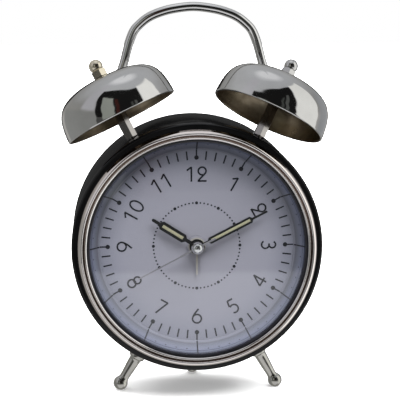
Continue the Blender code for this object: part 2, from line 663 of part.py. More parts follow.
def electronics():
    """Circuit board, chip, crystal, stepper coil and stator in the movement; buzzer behind it."""
    board = box_mesh("circuit_board", (-25 * MM, -25.5 * MM, -15.7 * MM), (25 * MM, -17.5 * MM, -14.9 * MM))
    add("circuit_board", board, "board_green", forward_frame())
    blob = [(0, 1.2 * MM), (1.6 * MM, 0.9 * MM), (2.4 * MM, 0.2 * MM), (2.4 * MM, 0), (0, 0)]
    turned("control_chip", blob, "black_plastic", forward_frame(-18 * MM, -21.5 * MM, -14.6 * MM), 16)
    along_x = Matrix.Rotation(math.pi / 2, 4, "Y")
    turned("quartz_crystal", rod_profile(1.0 * MM, 0, 6 * MM), "steel",
           forward_frame(14 * MM, -21.5 * MM, -13.4 * MM) @ along_x, 12)
    half, cheek = 9 * MM, 1 * MM
    flange, winding = 3.2 * MM, 2.7 * MM
    coil = [(0, half), (flange, half), (flange, half - cheek), (winding, half - cheek),
            (winding, cheek - half), (flange, cheek - half), (flange, -half), (0, -half)]
    turned("stepper_coil", coil, "copper", forward_frame(-2 * MM, -21.5 * MM, -10.6 * MM) @ along_x, 16)
    plate = box_mesh("stator", (-6 * MM, -17.8 * MM, -13.7 * MM), (14 * MM, -9.6 * MM, -13.1 * MM))
    stator = add("stator", plate, "steel", forward_frame())
    combine(stator, turned_cutter("stator_hole", rod_profile(3.0 * MM, -15 * MM, -12 * MM),
                                  forward_frame(*ROTOR_SHAFT), 24))
    can = tube_profile(1.0 * MM, 8.0 * MM, COVER_FRONT + 0.6 * MM, COVER_FRONT + 6.8 * MM)
    turned("buzzer", can, "black_plastic", forward_frame(24 * MM, 24 * MM), 20, ring=True)


# Battery and controls

def battery():
    """The tray behind the movement with one cell, its leaf contact and its coil spring."""
    (x0, z0), (x1, z1) = TRAY
    wall = 1.2 * MM
    deep, rim = BATTERY_FORWARD + BATTERY_RADIUS + 2.0 * MM, COVER_FRONT + GAP
    tray = add("battery_tray", box_mesh("battery_tray", (x0, z0, rim), (x1, z1, deep)), "black_plastic",
               forward_frame())
    hollow = box_mesh("cut_tray", (x0 + wall, z0 + wall, rim - MM), (x1 - wall, z1 - wall, deep - wall))
    combine(tray, cutter("tray_hollow", hollow, forward_frame()))
    lengthwise = forward_frame(0, BATTERY_Z, BATTERY_FORWARD) @ Matrix.Rotation(math.pi / 2, 4, "Y")
    half, nub = 24.5 * MM, 2.6 * MM
    cell = [(0, half + 1.0 * MM), (nub, half + 1.0 * MM), (nub, half), (BATTERY_RADIUS - 0.6 * MM, half),
            (BATTERY_RADIUS, half - 0.6 * MM), (BATTERY_RADIUS, -half), (0, -half)]
    turned("battery_cell", cell, "battery_jacket", lengthwise, 24)
    leaf_x = x1 - wall - GAP
    reach = 5 * MM
    leaf = box_mesh("leaf", (leaf_x - 0.5 * MM, BATTERY_Z - reach, BATTERY_FORWARD - reach),
                    (leaf_x, BATTERY_Z + reach, BATTERY_FORWARD + reach))
    add("battery_contact_leaf", leaf, "steel", forward_frame())
    turns, per_turn, wire = 3, 8, 0.35 * MM
    start, stop = -half - GAP - wire, x0 + wall + GAP + wire
    coil = []
    for i in range(turns * per_turn + 1):
        part = i / (turns * per_turn)
        radius = (2.0 + 2.5 * part) * MM
        turn = 2 * math.pi * i / per_turn
        rise = start + (stop - start) * part
        coil.append(Vector((radius * math.cos(turn), radius * math.sin(turn), rise)))
    add("battery_contact_spring", wire_mesh("spring", coil, wire, 6), "steel", lengthwise)


def battery_door():
    """The door turns on its rounded lower edge, and its upper edge has a finger groove."""
    (x0, z0), (x1, z1) = DOOR
    edge = DOOR_THICK / 2
    outer = COVER_BACK
    pivot = (z0 + edge, outer + edge)
    outline = [(z1, outer), (z1, outer + DOOR_THICK)] + arc(pivot, edge, 90, 270, 6)
    mesh = prism_mesh("battery_door", outline, x0, x1)
    turn = Matrix(((0, 0, 1, 0), (1, 0, 0, 0), (0, 1, 0, 0), (0, 0, 0, 1)))
    shift = Matrix.Translation((*pivot, 0))
    mesh.transform(shift.inverted())
    door = add("battery_door", mesh, "black_plastic", forward_frame() @ turn @ shift)
    grip = box_mesh("cut_grip", (-5 * MM, z1 - 3.0 * MM, outer - MM),
                    (5 * MM, z1 - 1.6 * MM, outer + 0.6 * MM))
    combine(door, cutter("door_grip", grip, forward_frame()))


def knob(name, station, teeth, pitch, storey):
    """A setting knob on a long shaft that reaches its pinion inside the movement."""
    back, tip = COVER_BACK - 0.7 * MM, layer(storey)[1] + 0.1 * MM
    points = [(0, tip), (1.1 * MM, tip), (1.1 * MM, back), (6.3 * MM, back),
              (6.6 * MM, back - 0.6 * MM), (6.3 * MM, back - 6.0 * MM), (5.6 * MM, back - 6.7 * MM),
              (0, back - 6.9 * MM)]
    place = forward_frame(*station)
    piece = turned(name, points, "black_plastic", place, 24)
    pinion = prism_mesh(name + "_pinion", gear_outline(teeth, pitch, 0.4 * MM), *layer(storey))
    combine(piece, cutter(name + "_pinion", pinion, place), "UNION")


def knobs():
    knob("time_set_knob", TIME_SHAFT, 8, 2.1 * MM, 2)
    knob("alarm_set_knob", ALARM_SHAFT, 16, 4.0 * MM, 0)


def alarm_switch():
    """The slide sits at the left end of its slot when the alarm is off."""
    x = -SWITCH_TRAVEL / 2
    inner, outer = COVER_FRONT + GAP, COVER_BACK - GAP
    head, stem, plate = 3.2 * MM, 2.0 * MM, 4.5 * MM
    half = [(head, outer - 2.2 * MM), (head, outer), (stem, outer), (stem, inner), (plate, inner),
            (plate, inner + 1.2 * MM)]
    outline = [(x + reach, level) for reach, level in half]
    outline += [(x - reach, level) for reach, level in half[::-1]]
    turn = Matrix(((1, 0, 0, 0), (0, 0, -1, 0), (0, 1, 0, 0), (0, 0, 0, 1)))
    mesh = prism_mesh("alarm_switch", outline, -SWITCH_Z - 1.5 * MM, -SWITCH_Z + 1.5 * MM)
    add("alarm_switch", mesh, "white_plastic", forward_frame() @ turn)


def soften(angle=35):
    """Round pieces shade smooth up to the sharp edges."""
    for piece in PARTS.objects:
        piece.data.shade_smooth()
        piece.data.set_sharp_from_angle(angle=math.radians(angle))


case_drum()
front_bezel()
lens()
lens_gasket()
dial()
dial_ring()
inner_frame()
back_cover()
cover_screws()
bells()
bell_fittings()
handle()
feet()
hands()
gear_train()
movement_case()
electronics()
battery()
battery_door()
knobs()
alarm_switch()
soften()
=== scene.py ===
"""Looks of the twin-bell alarm clock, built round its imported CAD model.

Units are metres, +Z is up and the dial faces -Y. Lengths in the constants below are millimetres
times MM, angles are degrees, and "forward" heights are measured from the dial's front face
towards the viewer.
"""

import json
import math

import bmesh
import bpy
from mathutils import Matrix, Vector


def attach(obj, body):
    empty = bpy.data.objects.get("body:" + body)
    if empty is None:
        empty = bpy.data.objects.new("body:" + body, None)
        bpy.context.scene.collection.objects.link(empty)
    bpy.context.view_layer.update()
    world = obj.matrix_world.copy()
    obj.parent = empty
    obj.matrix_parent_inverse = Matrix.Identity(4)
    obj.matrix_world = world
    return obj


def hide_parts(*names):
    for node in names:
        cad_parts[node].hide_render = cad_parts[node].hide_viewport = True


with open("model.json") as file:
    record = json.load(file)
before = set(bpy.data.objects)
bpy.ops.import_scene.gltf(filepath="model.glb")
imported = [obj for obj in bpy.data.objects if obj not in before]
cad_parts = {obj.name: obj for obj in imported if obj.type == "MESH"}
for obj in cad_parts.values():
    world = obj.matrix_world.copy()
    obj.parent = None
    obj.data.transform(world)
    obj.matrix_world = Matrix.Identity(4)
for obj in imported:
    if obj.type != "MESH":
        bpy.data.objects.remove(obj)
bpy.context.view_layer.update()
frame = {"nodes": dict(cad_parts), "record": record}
nodes = frame["nodes"]

MM = 0.001
AXIS_HEIGHT = 64.8 * MM             # dial axis above the table
DIAL_Y = -15.1 * MM                 # front face of the dial
CASE_RADIUS = 52.7 * MM
CASE_FRONT = 6.6 * MM
CASE_BACK = -37.5 * MM
CASE_WALL = 0.8 * MM
BEZEL_OUTER = 50.2 * MM
BEZEL_INNER = 46.2 * MM
BEZEL_BACK = CASE_FRONT + 0.3 * MM
LENS_RADIUS = 44.8 * MM
LENS_TOP = 12.6 * MM
LENS_EDGE = 8.8 * MM
LENS_WALL = 1.2 * MM
RING_INNER = 41.0 * MM              # foot of the sloping ring round the dial
RING_OUTER = 45.4 * MM              # its front edge
RING_TOP = 6.4 * MM
RING_BEND = 42.1 * MM               # where its shallower foot ends
RING_BEND_TOP = 1.9 * MM
COVER_FRONT = -38.3 * MM
COVER_BACK = -40.3 * MM
SIDES = {"left": -1, "right": 1}
KNOBS = (15.2, -12.0)               # x of the time and alarm knobs, in millimetres
SCREW_CIRCLE = 44                   # radius of the cover screws' circle, in millimetres
SCREW_ANGLES = (0, 120, 240)

BELL_RADIUS = 24.75 * MM
BELL_HEIGHT = 19.2 * MM
BELL_WALL = 1.0 * MM
BELL_LIFT = 9.4 * MM                # from the drum to the bell's rim, along its post
BELL_Y = 5.0 * MM                   # of the post, behind the dial
BELL_STATION = 30.4                 # of the post on the drum, from twelve
BELL_TILT = 26.7                    # outward from the vertical
BELL_LEAN = {"left": 10.0, "right": 14.9}

HANDLE_X = 0.9 * MM
HANDLE_Y = 33.8 * MM
HANDLE_SET = 1.6 * MM               # how far the hoop stands behind its lower ends
HANDLE_RADIUS = 2.0 * MM

FOOT_STATION = {"left": 26.6, "right": 29.2}    # on the drum, from six
FOOT_SPLAY = {"left": 31.4, "right": 29.3}
FOOT_Y = 10.0 * MM
REAR_FOOT_Y = 33.3 * MM
REAR_FOOT_LEAN = 15.0
FOOT_BALL = 3.08 * MM

HOUR_ANGLE = -57.8                  # the hands' rest places, clockwise from twelve
MINUTE_ANGLE = 63.0
SECOND_ANGLE = 242.5
ALARM_ANGLE = 180.0
INK = 0.03 * MM                     # height of the print above the surface under it

# Sizes of the dial's print, in millimetres
NUMERAL_HEIGHT = 6.4
NUMERAL_CIRCLE = 30.5
PEN = 0.36                          # half the width of a numeral's stroke
HOUR_DOT_CIRCLE = 37.5
ALARM_CIRCLE = 18.3

IDENTITY = Matrix.Identity(4)


# Placing

def forward_frame(x=0.0, z=0.0, forward=0.0, clockwise=0.0):
    """Local +Z points at the viewer and local +Y at twelve; (x, z) is from the dial axis."""
    place = Matrix.Translation((x, DIAL_Y - forward, AXIS_HEIGHT + z))
    facing = Matrix.Rotation(math.pi / 2, 4, "X")
    return place @ facing @ Matrix.Rotation(-math.radians(clockwise), 4, "Z")


def on_drum(degrees, behind):
    """A point on the drum, clockwise from twelve as the viewer sees it."""
    angle = math.radians(degrees)
    across = CASE_RADIUS * math.sin(angle)
    return Vector((across, DIAL_Y + behind, AXIS_HEIGHT + CASE_RADIUS * math.cos(angle)))


def clock_turn(degrees, out=0.0, lift=0.0):
    """On the dial: local +Y points outward at this clockwise angle, from a point out along it."""
    return Matrix.Rotation(-math.radians(degrees), 4, "Z") @ Matrix.Translation((0, out * MM, lift * MM))


def aimed(point, direction):
    """Local +Z along the direction, with the origin at the point."""
    return Matrix.Translation(point) @ direction.to_track_quat("Z", "Y").to_matrix().to_4x4()


def tilted(outward, lean, side, up=1):
    """Unit vector tilted outward from the vertical to one side, and leaning back."""
    outward, lean = math.radians(outward), math.radians(lean)
    flat = math.cos(lean)
    return Vector((side * math.sin(outward) * flat, math.sin(lean), up * math.cos(outward) * flat))


# Material nodes

class Nodes:
    """Short ways to add shader nodes to a tree."""

    def __init__(self, tree):
        self.tree = tree

    def node(self, kind, **values):
        made = self.tree.nodes.new(kind)
        for key, value in values.items():
            setattr(made, key, value)
        return made

    def link(self, start, end):
        self.tree.links.new(start, end)

    def feed(self, socket, value):
        """Gives a socket a number, a colour or another node's output."""
        if isinstance(value, (int, float)):
            socket.default_value = value
        elif isinstance(value, tuple):
            socket.default_value = (*value, 1)
        else:
            self.link(value, socket)

    def math(self, operation, first, second=0.0, clamp=False):
        made = self.node("ShaderNodeMath", operation=operation, use_clamp=clamp)
        self.feed(made.inputs[0], first)
        self.feed(made.inputs[1], second)
        return made.outputs[0]

    def mix(self, factor, first, second, blend="MIX"):
        made = self.node("ShaderNodeMix", data_type="RGBA", blend_type=blend)
        for index, value in ((0, factor), (6, first), (7, second)):
            self.feed(made.inputs[index], value)
        return made.outputs[2]

    def ramp(self, factor, *stops):
        """Colour ramp through (position, colour) stops; a single number is a grey."""
        made = self.node("ShaderNodeValToRGB")
        elements = made.color_ramp.elements
        while len(elements) < len(stops):
            elements.new(0.5)
        for element, (position, colour) in zip(elements, stops):
            element.position = position
            grey = isinstance(colour, (int, float))
            element.color = (colour, colour, colour, 1) if grey else (*colour, 1)
        self.link(factor, made.inputs["Fac"])
        return made.outputs["Color"]

    def spread(self, factor, low, high):
        """A ramp over the middle of a noise, from one value or colour to another."""
        return self.ramp(factor, (0.3, low), (0.7, high))

    def split(self, vector):
        """The outputs X, Y and Z of a vector."""
        made = self.node("ShaderNodeSeparateXYZ")
        self.link(vector, made.inputs[0])
        return made.outputs


class Skin(Nodes):
    """A material."""

    def __init__(self, name, colour=(0.5, 0.5, 0.5), roughness=0.4, metallic=0.0):
        self.material = bpy.data.materials.new(name)
        self.material.use_nodes = True
        super().__init__(self.material.node_tree)
        self.shader = self.tree.nodes["Principled BSDF"]
        self.feed(self.shader.inputs["Base Color"], colour)
        self.feed(self.shader.inputs["Roughness"], roughness)
        self.feed(self.shader.inputs["Metallic"], metallic)

    def place(self, scale=(1, 1, 1)):
        """Object coordinates, stretched."""
        where = self.node("ShaderNodeTexCoord")
        mapping = self.node("ShaderNodeMapping")
        mapping.inputs["Scale"].default_value = scale
        self.link(where.outputs["Object"], mapping.inputs["Vector"])
        return mapping.outputs["Vector"]

    def noise(self, scale, detail=4.0, stretch=(1, 1, 1), distortion=0.0):
        made = self.node("ShaderNodeTexNoise")
        made.inputs["Scale"].default_value = scale
        made.inputs["Detail"].default_value = detail
        made.inputs["Distortion"].default_value = distortion
        self.link(self.place(stretch), made.inputs["Vector"])
        return made.outputs["Fac"]

    def axis(self, name):
        """One of the object coordinates."""
        return self.split(self.node("ShaderNodeTexCoord").outputs["Object"])[name]

    def radius(self):
        """Distance from the dial's axis."""
        across = self.math("POWER", self.axis("X"), 2.0)
        up = self.math("POWER", self.math("SUBTRACT", self.axis("Z"), AXIS_HEIGHT), 2.0)
        return self.math("SQRT", self.math("ADD", across, up))

    def forward(self):
        """Height in front of the dial's face."""
        return self.math("SUBTRACT", DIAL_Y, self.axis("Y"))

    def colour(self, output):
        self.link(output, self.shader.inputs["Base Color"])
        return self

    def rough(self, output):
        self.link(output, self.shader.inputs["Roughness"])
        return self

    def bump(self, height, distance, strength=1.0):
        made = self.node("ShaderNodeBump")
        made.inputs["Distance"].default_value = distance
        made.inputs["Strength"].default_value = strength
        self.link(height, made.inputs["Height"])
        self.link(made.outputs["Normal"], self.shader.inputs["Normal"])
        return self


def chrome(name, tint=(0.62, 0.615, 0.60), wave=0.000008, haze=0.05):
    """Plating with a faint waviness, polishing haze and a few fine wipe marks."""
    skin = Skin(name, tint, haze, 1.0)
    cloud = skin.noise(55, 3)
    dull = tuple(0.86 * part for part in tint)
    skin.colour(skin.ramp(cloud, (0.35, dull), (0.65, tint)))
    wipes = skin.noise(900, 2, (1, 1, 0.05))
    skin.rough(skin.ramp(skin.math("MULTIPLY", cloud, wipes), (0.12, haze), (0.42, haze + 0.04)))
    return skin.bump(skin.noise(28, 1.5), wave).material


def bezel_plating(name):
    """Warm bright plating with painted highlights on the two beads, and dark brown painted shade in the
    groove between them and towards the outer edge.
    """
    skin = Skin(name, (0.84, 0.79, 0.76), 0.08, 1.0)
    out = skin.math("SUBTRACT", skin.radius(), BEZEL_INNER)
    across = skin.math("DIVIDE", out, BEZEL_OUTER - BEZEL_INNER)
    # painted light: lighter on the two beads, dark brown painted shade in the groove and at the outer edge
    skin.colour(skin.ramp(
        across, (0.0, (0.80, 0.77, 0.75)), (0.24, (0.88, 0.84, 0.81)), (0.31, (0.26, 0.20, 0.17)),
        (0.42, (0.30, 0.23, 0.19)), (0.48, (0.90, 0.86, 0.84)), (0.75, (0.82, 0.76, 0.72)),
        (1.0, (0.60, 0.52, 0.48))))
    skin.rough(skin.spread(skin.noise(300, 3), 0.06, 0.12))
    return skin.bump(skin.noise(60, 2), 0.000003).material


def tarnished(name):
    """The unpolished inside of a bell, brown towards the crown."""
    skin = Skin(name, (0.3, 0.25, 0.2), 0.3, 1.0)
    patches = skin.noise(120, 5, distortion=0.4)
    skin.colour(skin.spread(patches, (0.16, 0.12, 0.08), (0.42, 0.36, 0.26)))
    skin.rough(skin.spread(patches, 0.42, 0.26))
    return skin.bump(skin.noise(900, 3), 0.00001).material


def enamel(name):
    """Gloss black stove enamel with a trace of orange peel and dust in its gloss."""
    skin = Skin(name, (0.006, 0.006, 0.0065), 0.16)
    skin.shader.inputs["Specular IOR Level"].default_value = 0.28
    cloud = skin.noise(90, 4)
    skin.colour(skin.spread(cloud, (0.002, 0.002, 0.0022), (0.004, 0.004, 0.0042)))
    skin.rough(skin.ramp(cloud, (0.35, 0.07), (0.7, 0.15)))
    return skin.bump(skin.noise(1300, 1), 0.000002).material


def plastic(name, dark, light, roughness, grain=2600, depth=0.000015):
    """Moulded plastic with a spark-eroded grain."""
    skin = Skin(name, light, roughness)
    cloud = skin.noise(70, 3)
    skin.colour(skin.spread(cloud, dark, light))
    skin.rough(skin.spread(skin.noise(240, 3), roughness - 0.03, roughness + 0.04))
    return skin.bump(skin.noise(grain, 2), depth).material


def brushed(name, dark, light, roughness=0.32, stretch=(1, 1, 0.03)):
    """Metal with fine directional brushing."""
    skin = Skin(name, light, roughness, 1.0)
    lines = skin.noise(1500, 3, stretch)
    skin.colour(skin.spread(lines, dark, light))
    skin.rough(skin.spread(lines, roughness - 0.08, roughness + 0.08))
    return skin.bump(lines, 0.000004).material


def clear_glass(name):
    """Thin clear glass: it shows what is behind it and mirrors the room by Fresnel."""
    skin = Skin(name)
    skin.tree.nodes.remove(skin.shader)
    through = skin.node("ShaderNodeBsdfTransparent")
    through.inputs["Color"].default_value = (0.965, 0.975, 0.985, 1)
    gloss = skin.node("ShaderNodeBsdfGlossy")
    gloss.inputs["Color"].default_value = (1, 1, 1, 1)
    smudge = skin.ramp(skin.noise(60, 4, distortion=0.6), (0.45, 0.008), (0.75, 0.03))
    skin.link(smudge, gloss.inputs["Roughness"])
    fresnel = skin.node("ShaderNodeFresnel")
    fresnel.inputs["IOR"].default_value = 1.8
    outside = skin.math("SUBTRACT", 1.0, skin.node("ShaderNodeNewGeometry").outputs["Backfacing"])
    blend = skin.node("ShaderNodeMixShader")
    skin.link(skin.math("MULTIPLY", fresnel.outputs[0], outside), blend.inputs[0])
    skin.link(through.outputs[0], blend.inputs[1])
    skin.link(gloss.outputs[0], blend.inputs[2])
    skin.link(blend.outputs[0], skin.tree.nodes["Material Output"].inputs["Surface"])
    return skin.material


def dial_paint(name):
    """Pale lavender grey with painted shade that deepens towards the edge under the sloping ring, and a fine
    printed grain.
    """
    skin = Skin(name, (0.40, 0.385, 0.44), 0.5)
    # painted shade: the grey darkens and turns bluer towards the foot of the sloping ring
    tone_and_rim_shade = skin.ramp(skin.math("DIVIDE", skin.radius(), RING_INNER),
                     (0.0, (0.40, 0.385, 0.432)), (0.75, (0.385, 0.375, 0.43)), (1.0, (0.32, 0.32, 0.38)))
    grain = skin.noise(2400, 2)
    skin.colour(skin.mix(1.0, tone_and_rim_shade, skin.spread(grain, 0.94, 1.0), "MULTIPLY"))
    skin.rough(skin.spread(skin.noise(180, 3), 0.42, 0.56))
    return skin.bump(grain, 0.000003).material


def ring_paint(name):
    """The sloping ring: blue grey with painted shade that darkens it towards the glass, and a soft gloss."""
    skin = Skin(name, (0.2, 0.21, 0.27), 0.3)
    rise = skin.math("DIVIDE", skin.forward(), RING_TOP)
    # painted light: a dark band of painted shade just below the bend, and thin dark rings near the top that
    # are painted reflections of the glass's edge
    skin.colour(skin.ramp(
        rise, (0.0, (0.27, 0.27, 0.31)), (0.20, (0.23, 0.23, 0.27)), (0.26, (0.14, 0.14, 0.17)),
        (0.36, (0.16, 0.165, 0.20)), (0.60, (0.20, 0.21, 0.27)), (0.74, (0.18, 0.19, 0.26)),
        (0.77, (0.04, 0.045, 0.09)), (0.81, (0.18, 0.19, 0.25)), (0.88, (0.13, 0.14, 0.19)),
        (0.91, (0.04, 0.045, 0.08)), (0.96, (0.10, 0.11, 0.15))))
    skin.rough(skin.spread(skin.noise(200, 3), 0.34, 0.44))
    return skin.bump(skin.noise(1500, 2), 0.000003).material


def lume_paint(name):
    """Grainy luminous filling."""
    skin = Skin(name, (0.6, 0.58, 0.4), 0.7)
    grain = skin.noise(2600, 3)
    skin.colour(skin.spread(grain, (0.38, 0.355, 0.22), (0.52, 0.49, 0.33)))
    skin.rough(skin.spread(grain, 0.6, 0.8))
    return skin.bump(grain, 0.00002).material


def jacket_paint(name):
    """A battery's printed jacket: dark body, pale band at the positive end."""
    skin = Skin(name, (0.03, 0.06, 0.16), 0.3)
    band = skin.ramp(skin.axis("X"), (0.013, (0.02, 0.05, 0.14)), (0.0131, (0.55, 0.50, 0.42)),
                     (0.0235, (0.60, 0.55, 0.46)), (0.0245, (0.55, 0.55, 0.55)))
    mottle = skin.noise(300, 3)
    skin.colour(skin.mix(skin.ramp(mottle, (0.4, 0.0), (0.8, 0.15)), band, (0.25, 0.25, 0.28)))
    skin.rough(skin.spread(mottle, 0.24, 0.38))
    return skin.bump(mottle, 0.000004).material


def board_paint(name):
    """Green solder mask over copper tracks."""
    skin = Skin(name, (0.03, 0.16, 0.07), 0.4)
    tracks = skin.node("ShaderNodeTexBrick")
    for socket, value in (("Scale", 260), ("Color1", (0.02, 0.12, 0.05)), ("Color2", (0.03, 0.15, 0.06)),
                          ("Mortar", (0.10, 0.30, 0.12)), ("Mortar Size", 0.05), ("Vector", skin.place())):
        skin.feed(tracks.inputs[socket], value)
    skin.colour(tracks.outputs["Color"])
    skin.rough(skin.spread(skin.noise(300, 3), 0.34, 0.5))
    return skin.bump(tracks.outputs["Fac"], 0.00002).material


def winding_paint(name):
    """Enamelled copper wire, wound in turns across the coil's length, with painted shade between the turns.
    """
    skin = Skin(name, (0.72, 0.32, 0.14), 0.3, 1.0)
    turns = skin.node("ShaderNodeTexWave", bands_direction="X")
    turns.inputs["Scale"].default_value = 1400
    turns.inputs["Distortion"].default_value = 0.4
    skin.link(skin.place(), turns.inputs["Vector"])
    # painted shade: the copper darkens between the turns
    skin.colour(skin.ramp(turns.outputs["Fac"], (0.2, (0.35, 0.13, 0.05)), (0.8, (0.75, 0.36, 0.16))))
    skin.rough(skin.spread(skin.noise(400, 3), 0.24, 0.4))
    return skin.bump(turns.outputs["Fac"], 0.00004).material


CHROME = chrome("polished_chrome")
# a paler, warmer copy of the chrome: painted light that makes the centre cap brighter than the other plating
CAP_CHROME_PAINTED_LIGHT = chrome("cap_chrome_painted_light", (0.95, 0.93, 0.89), 0.000001, 0.12)
BEZEL_CHROME = bezel_plating("bezel_chrome")
PALE_BRASS = chrome("worn_pale_plating", (0.80, 0.73, 0.58), haze=0.16)
# a darker copy of the chrome: painted shade on the bell posts
POST_CHROME_PAINTED_SHADE = chrome("post_chrome_painted_shade", (0.44, 0.42, 0.40), 0.00001, 0.10)
# a paler copy of the chrome: painted light on the handle
HANDLE_CHROME_PAINTED_LIGHT = chrome("handle_chrome_painted_light", (0.74, 0.735, 0.72), 0.00001, 0.07)
# a darker, greyer copy of the chrome: painted shade on the feet
FOOT_CHROME_PAINTED_SHADE = chrome("foot_chrome_painted_shade", (0.52, 0.51, 0.47), 0.00003, 0.14)
INSIDE = tarnished("bell_inside")
ENAMEL = enamel("black_enamel")
GLASS = clear_glass("lens_glass")
RUBBER = plastic("gasket_rubber", (0.004, 0.004, 0.006), (0.010, 0.010, 0.013), 0.4, 1800, 0.00002)
DIAL = dial_paint("dial_paint")
RING = ring_paint("ring_paint")
PRINT = plastic("black_print", (0.003, 0.003, 0.006), (0.006, 0.006, 0.010), 0.5, 3000, 0.000002)
FAINT_PRINT = plastic("faint_print", (0.03, 0.033, 0.05), (0.045, 0.05, 0.07), 0.45, 3000, 0.000002)
PALE_PRINT = plastic("pale_print", (0.42, 0.42, 0.40), (0.50, 0.50, 0.48), 0.5, 3000, 0.000002)
HAND_BLACK = plastic("hand_black", (0.003, 0.003, 0.003), (0.006, 0.006, 0.006), 0.45, 1200, 0.000003)
LUME = lume_paint("lume_paint")
SILVER = plastic("hand_silver", (0.20, 0.19, 0.20), (0.27, 0.26, 0.27), 0.34, 1500, 0.000003)
# a paler, warmer copy of the hands' silver: painted light that keeps the alarm hand bright under the other
# hands' shade
ALARM_SILVER_PAINTED_LIGHT = plastic("alarm_hand_silver_painted_light", (0.42, 0.39, 0.34), (0.52, 0.48, 0.42), 0.34, 1500, 0.000003)
BLACK_PLASTIC = plastic("black_plastic", (0.009, 0.009, 0.010), (0.012, 0.012, 0.013), 0.40)
WHITE_PLASTIC = plastic("white_plastic", (0.42, 0.42, 0.39), (0.47, 0.47, 0.44), 0.4)
ZINC = brushed("zinc_steel", (0.36, 0.36, 0.35), (0.52, 0.52, 0.50))
COPPER = winding_paint("copper_winding")
BOARD = board_paint("circuit_board")
JACKET = jacket_paint("battery_jacket")

SLOT_SKINS = {"case_paint": ENAMEL, "chrome": CHROME, "pale_brass": PALE_BRASS, "plated_steel": ZINC,
              "lens_glass": GLASS, "gasket_rubber": RUBBER, "dial_print": DIAL, "ring_plastic": RING,
              "white_plastic": WHITE_PLASTIC, "black_plastic": BLACK_PLASTIC, "hand_paint": HAND_BLACK,
              "lume": LUME, "silver": SILVER, "battery_jacket": JACKET, "board": BOARD, "copper": COPPER}
for part in frame["record"]["subparts"]:
    mesh = nodes[part["node"]].data
    mesh.materials.clear()
    mesh.materials.append(DIAL if part["node"] == "movement_front" else SLOT_SKINS[part["material_slot"]])


# Making

def metres(points):
    """Points given in millimetres, as metres."""
    return [(x * MM, y * MM) for x, y in points]


def add(name, mesh, skin, matrix=IDENTITY):
    """Puts a mesh in the scene with its material, in the shared frame."""
    mesh.name = name
    mesh.transform(matrix)
    piece = bpy.data.objects.new(name, mesh)
    bpy.context.scene.collection.objects.link(piece)
    if not mesh.materials:
        mesh.materials.append(skin)
    return piece


def settle(piece, body, slot, *replaced):
    """Names what the piece rides on and the CAD nodes that it stands for; the slot is not used."""
    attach(piece, body)
    if replaced:
        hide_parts(*replaced)
    return piece


def finished(shape, name):
    """A mesh from the bmesh, facing out and smooth up to its sharp edges."""
    bmesh.ops.recalc_face_normals(shape, faces=shape.faces)
    mesh = bpy.data.meshes.new(name)
    shape.to_mesh(mesh)
    shape.free()
    mesh.shade_smooth()
    mesh.set_sharp_from_angle(angle=math.radians(35))
    return mesh


def lathe_mesh(name, profile, segments=192, ring=False):
    """Turns (radius, height) points about local Z; a ring's profile closes on itself."""
    shape = bmesh.new()
    rows = []
    for radius, height in profile:
        if radius < 1e-7:
            rows.append([shape.verts.new((0, 0, height))])
            continue
        turns = [2 * math.pi * i / segments for i in range(segments)]
        rows.append([shape.verts.new((radius * math.cos(t), radius * math.sin(t), height)) for t in turns])
    pairs = list(zip(rows, rows[1:])) + ([(rows[-1], rows[0])] if ring else [])
    for above, below in pairs:
        for i in range(segments):
            j = (i + 1) % segments
            ends = ((above, i), (above, j), (below, j), (below, i))
            corners = dict.fromkeys(row[k % len(row)] for row, k in ends)
            shape.faces.new(list(corners))
    return finished(shape, name)


def rounded(corners, closed=True, steps=5):
    """Replaces each (x, y, fillet) corner by an arc."""
    path = []
    count = len(corners)
    for i, (x, y, fillet) in enumerate(corners):
        here = Vector((x, y))
        if fillet == 0 or (not closed and i in (0, count - 1)):
            path.append((x, y))
            continue
        before = Vector(corners[i - 1][:2]) - here
        after = Vector(corners[(i + 1) % count][:2]) - here
        half = before.angle(after) / 2
        cut = min(fillet / math.tan(half), 0.48 * before.length, 0.48 * after.length)
        radius = cut * math.tan(half)
        centre = here + (before.normalized() + after.normalized()).normalized() * (radius / math.sin(half))
        first = here + before.normalized() * cut - centre
        last = here + after.normalized() * cut - centre
        start = math.atan2(first.y, first.x)
        sweep = (math.atan2(last.y, last.x) - start + math.pi) % (2 * math.pi) - math.pi
        for k in range(steps + 1):
            turn = start + sweep * k / steps
            path.append((centre.x + radius * math.cos(turn), centre.y + radius * math.sin(turn)))
    return path


def smooth_path(points, steps):
    """Catmull-Rom curve through the points."""
    points = [Vector(point) for point in points]
    padded = [2 * points[0] - points[1]] + points + [2 * points[-1] - points[-2]]
    path = []
    for a, b, c, d in zip(padded, padded[1:], padded[2:], padded[3:]):
        for i in range(steps):
            t = i / steps
            path.append(0.5 * (2 * b + (c - a) * t + (2 * a - 5 * b + 4 * c - d) * t * t
                               + (3 * b - a - 3 * c + d) * t ** 3))
    return path + [points[-1]]


def turned_profile(corners, ring=False, steps=5):
    """A profile from (radius, height, fillet) corners in millimetres."""
    return rounded([(r * MM, h * MM, f * MM) for r, h, f in corners], ring, steps)


def turned(name, corners, skin, matrix, segments=192, ring=False):
    """A turned piece from (radius, height, fillet) corners in millimetres."""
    return add(name, lathe_mesh(name, turned_profile(corners, ring, 10), segments, ring), skin, matrix)


def prism_mesh(name, outline, low, high):
    """A flat outline in the local XY plane, raised from low to high."""
    shape = bmesh.new()
    base = shape.faces.new([shape.verts.new((x, y, low)) for x, y in outline])
    raised = bmesh.ops.extrude_face_region(shape, geom=[base])["geom"]
    tops = [item for item in raised if isinstance(item, bmesh.types.BMVert)]
    bmesh.ops.translate(shape, vec=(0, 0, high - low), verts=tops)
    return finished(shape, name)


def polygon(count, radius, phase=0.0):
    turns = [phase + 2 * math.pi * i / count for i in range(count)]
    return [(radius * math.cos(turn), radius * math.sin(turn)) for turn in turns]


